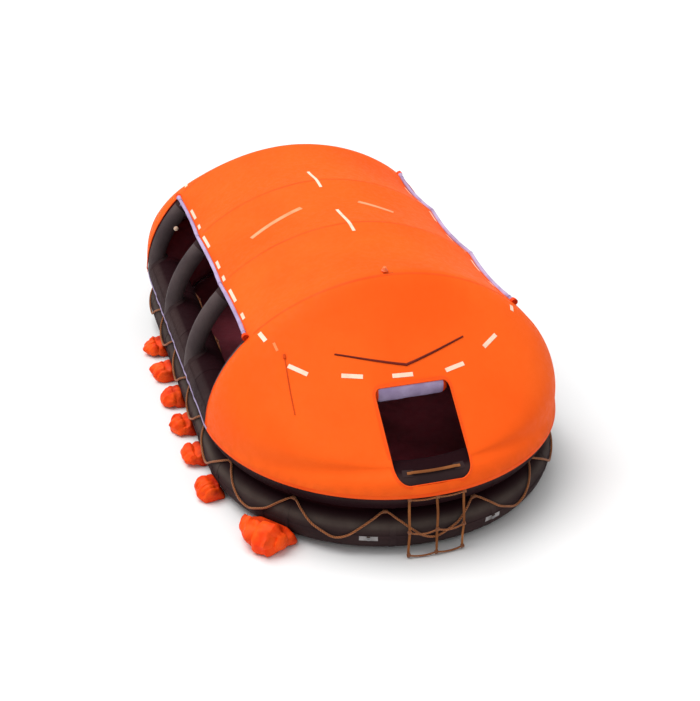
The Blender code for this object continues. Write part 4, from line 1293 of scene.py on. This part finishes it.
def make_pockets():
    """Five bags along each side and two at one end of it, sewn to straps on the tube."""
    places = []
    for side_name, end_name, side in (("left", "front", -1), ("right", "back", 1)):
        turn = Matrix.Rotation(0 if side > 0 else math.pi, 4, "Z")
        for number, y in enumerate((-1.60, -0.90, -0.20, 0.50, 1.20), 1):
            places.append((f"{side_name}_{number}", Matrix.Translation((0, -side * y, 0)) @ turn, 1.0))
        for kind, angle, size in (("shoulder", 10, 1.0), ("corner", 40, 1.7)):
            spin = Matrix.Rotation(math.radians(angle), 4, "Z")
            place = Matrix.Translation((0, side * END_Y, 0)) @ spin @ turn
            places.append((f"{kind}_{end_name}_{side_name}", place, size))
    straps = []
    for seed, (name, place, size) in enumerate(places, 100):
        points = pocket_grid(size, seed)
        matrix = np.array(place)
        bag = capped(f"pocket_{name}", points @ matrix[:3, :3].T + matrix[:3, 3], POCKET)
        shade(bag, sharp=math.radians(30))
        # Painted shade in dark red: darker where the bag meets the tube and at its very bottom, plus random
        # blotches.
        grime_and_painted_light(bag, lambda p, size=size: ease(from_middle(p), HALF_WIDTH + 0.16 * size, HALF_WIDTH - 0.02) * 0.8
              + 0.35 * ease(p[:, 2], 0.05, 0.0)
              + 0.35 * ease(noise(p * np.array([1.0, 1.0, 0.5]), 0.09 * size, 90), 0.1, 0.6))
        settle(bag, "pocket_fabric", f"water_pocket_{name}")
        for offset in (-0.1, 0.1):
            turns = np.radians(np.linspace(-14, 12, 7))
            y = offset * size + np.linspace(-0.018, 0.018, 2)
            x = RING_RADIUS + TUBE_RADIUS * np.cos(turns)
            normal = join(np.cos(turns), 0.0, np.sin(turns))[:, None]
            grid = slab(join(x[:, None], y, LOWER_Z + TUBE_RADIUS * np.sin(turns)[:, None]), normal, 0.004)
            straps.append(grid @ matrix[:3, :3].T + matrix[:3, 3])
    settle(capped("pocket_straps", straps, BAND))


def make_tow_patches():
    """A pale patch with a steel ring at each quarter of the lower tube."""
    half_along = np.array([-0.092, -0.090, -0.084, *np.linspace(-0.07, 0.07, 7), 0.084, 0.090, 0.092])
    across = (np.array([-0.031, -0.029, -0.025, 0.0, 0.025, 0.029, 0.031]) - 0.02) / TUBE_RADIUS
    from_edges = [np.minimum(np.arange(count), np.arange(count)[::-1]) for count in (len(half_along), len(across))]
    step = np.minimum(from_edges[0][:, None], from_edges[1][None, :])
    high = np.choose(np.minimum(step, 2), [0.0008, 0.0035, 0.005])
    for end_name, end in ENDS:
        for side_name, side in SIDES:
            angle = math.radians(70) if side > 0 else math.pi - math.radians(70)
            distance = end_distance(angle, end)
            along = distance + half_along
            top = tube_grid(along, across, LOWER_Z, TUBE_RADIUS + high)
            low = tube_grid(along, across[::-1], LOWER_Z, TUBE_RADIUS - 0.001)
            pad = capped("pad", np.concatenate([top, low], axis=1), GREY)
            middle = on_tube(distance, -0.06, LOWER_Z, TUBE_RADIUS + 0.014)
            _, out = ring(distance)
            way = np.cross(UP, out)
            spin = circle_turns(24)
            rise = UP * np.minimum(np.sin(spin), 0.45)[:, None]
            loop = middle + 0.020 * (way * np.cos(spin)[:, None] + rise)
            hoop = looped("hoop", sweep(loop, 0.0035, 8, closed=True, up=out), STEEL)
            keeper = tube_grid(distance + np.array([-0.016, 0.016]), np.linspace(-0.02, 0.07, 6), LOWER_Z,
                               TUBE_RADIUS + 0.006 + 0.012 * np.sin(np.linspace(0, math.pi, 6))[None, :])
            flap = capped("keeper", slab(keeper, out, 0.002), BAND)
            patch = merge(f"tow_pad_{end_name}_{side_name}", [pad, hoop, flap])
            grime_and_painted_light(patch, lambda p: 0.5 + 0.5 * noise(p, 0.08, 95))
            settle(patch, "patch_rubber", f"tow_patch_{end_name}_{side_name}")


def lathe(profile, place):
    """Rows of points round an upright axis, from (radius, height) pairs."""
    rows = [[(radius * math.cos(turn), radius * math.sin(turn), height) for turn in circle_turns(40)]
            for radius, height in profile]
    return np.array(rows) + np.array(place)


def make_lamps():
    """The lamp on the front crest, and the small light by the rear arch."""
    foot = (0.0, -CREST_Y + 0.05, RIDGE_Z + 0.0015)
    body = [(0.042, 0), (0.042, 0.003), (0.039, 0.006), (0.032, 0.008), (0.030, 0.011), (0.030, 0.017),
            (0.027, 0.020)]
    lens = [(0.026, 0.019), (0.0265, 0.026), (0.025, 0.034), (0.021, 0.041), (0.015, 0.046), (0.007, 0.0485),
            (0.002, 0.049)]
    base = capped("lamp_base", lathe(body, foot), LAMP)
    dome = capped("lamp_dome", lathe(lens, foot), LENS)
    settle(merge("crest_lamp", [base, dome]), "lamp_plastic", "canopy_lamp")
    light = [(0.034, 0), (0.034, 0.006), (0.031, 0.018), (0.024, 0.028), (0.012, 0.034), (0.002, 0.035)]
    ball = lathe(light, (0, 0, 0))
    ball = ball[..., [0, 2, 1]] * np.array([1, -1, 1]) + np.array([-1.724, 2.008, 1.493])
    settle(capped("cabin_light", ball, TAPE))


bpy.context.scene.view_settings.view_transform = "Standard"
make_studio()
make_tubes()
make_rub_strips()
make_floor()
make_arches()
canopy_tree, canopy_grid = make_canopy()
make_tapes()
make_gutters()
make_edges(canopy_grid)
make_door_edges()
make_side_curtains()
make_door_curtains()
make_side_hems()
make_sill_straps()
make_lifelines()
make_ladders()
make_pockets()
make_tow_patches()
make_lamps()
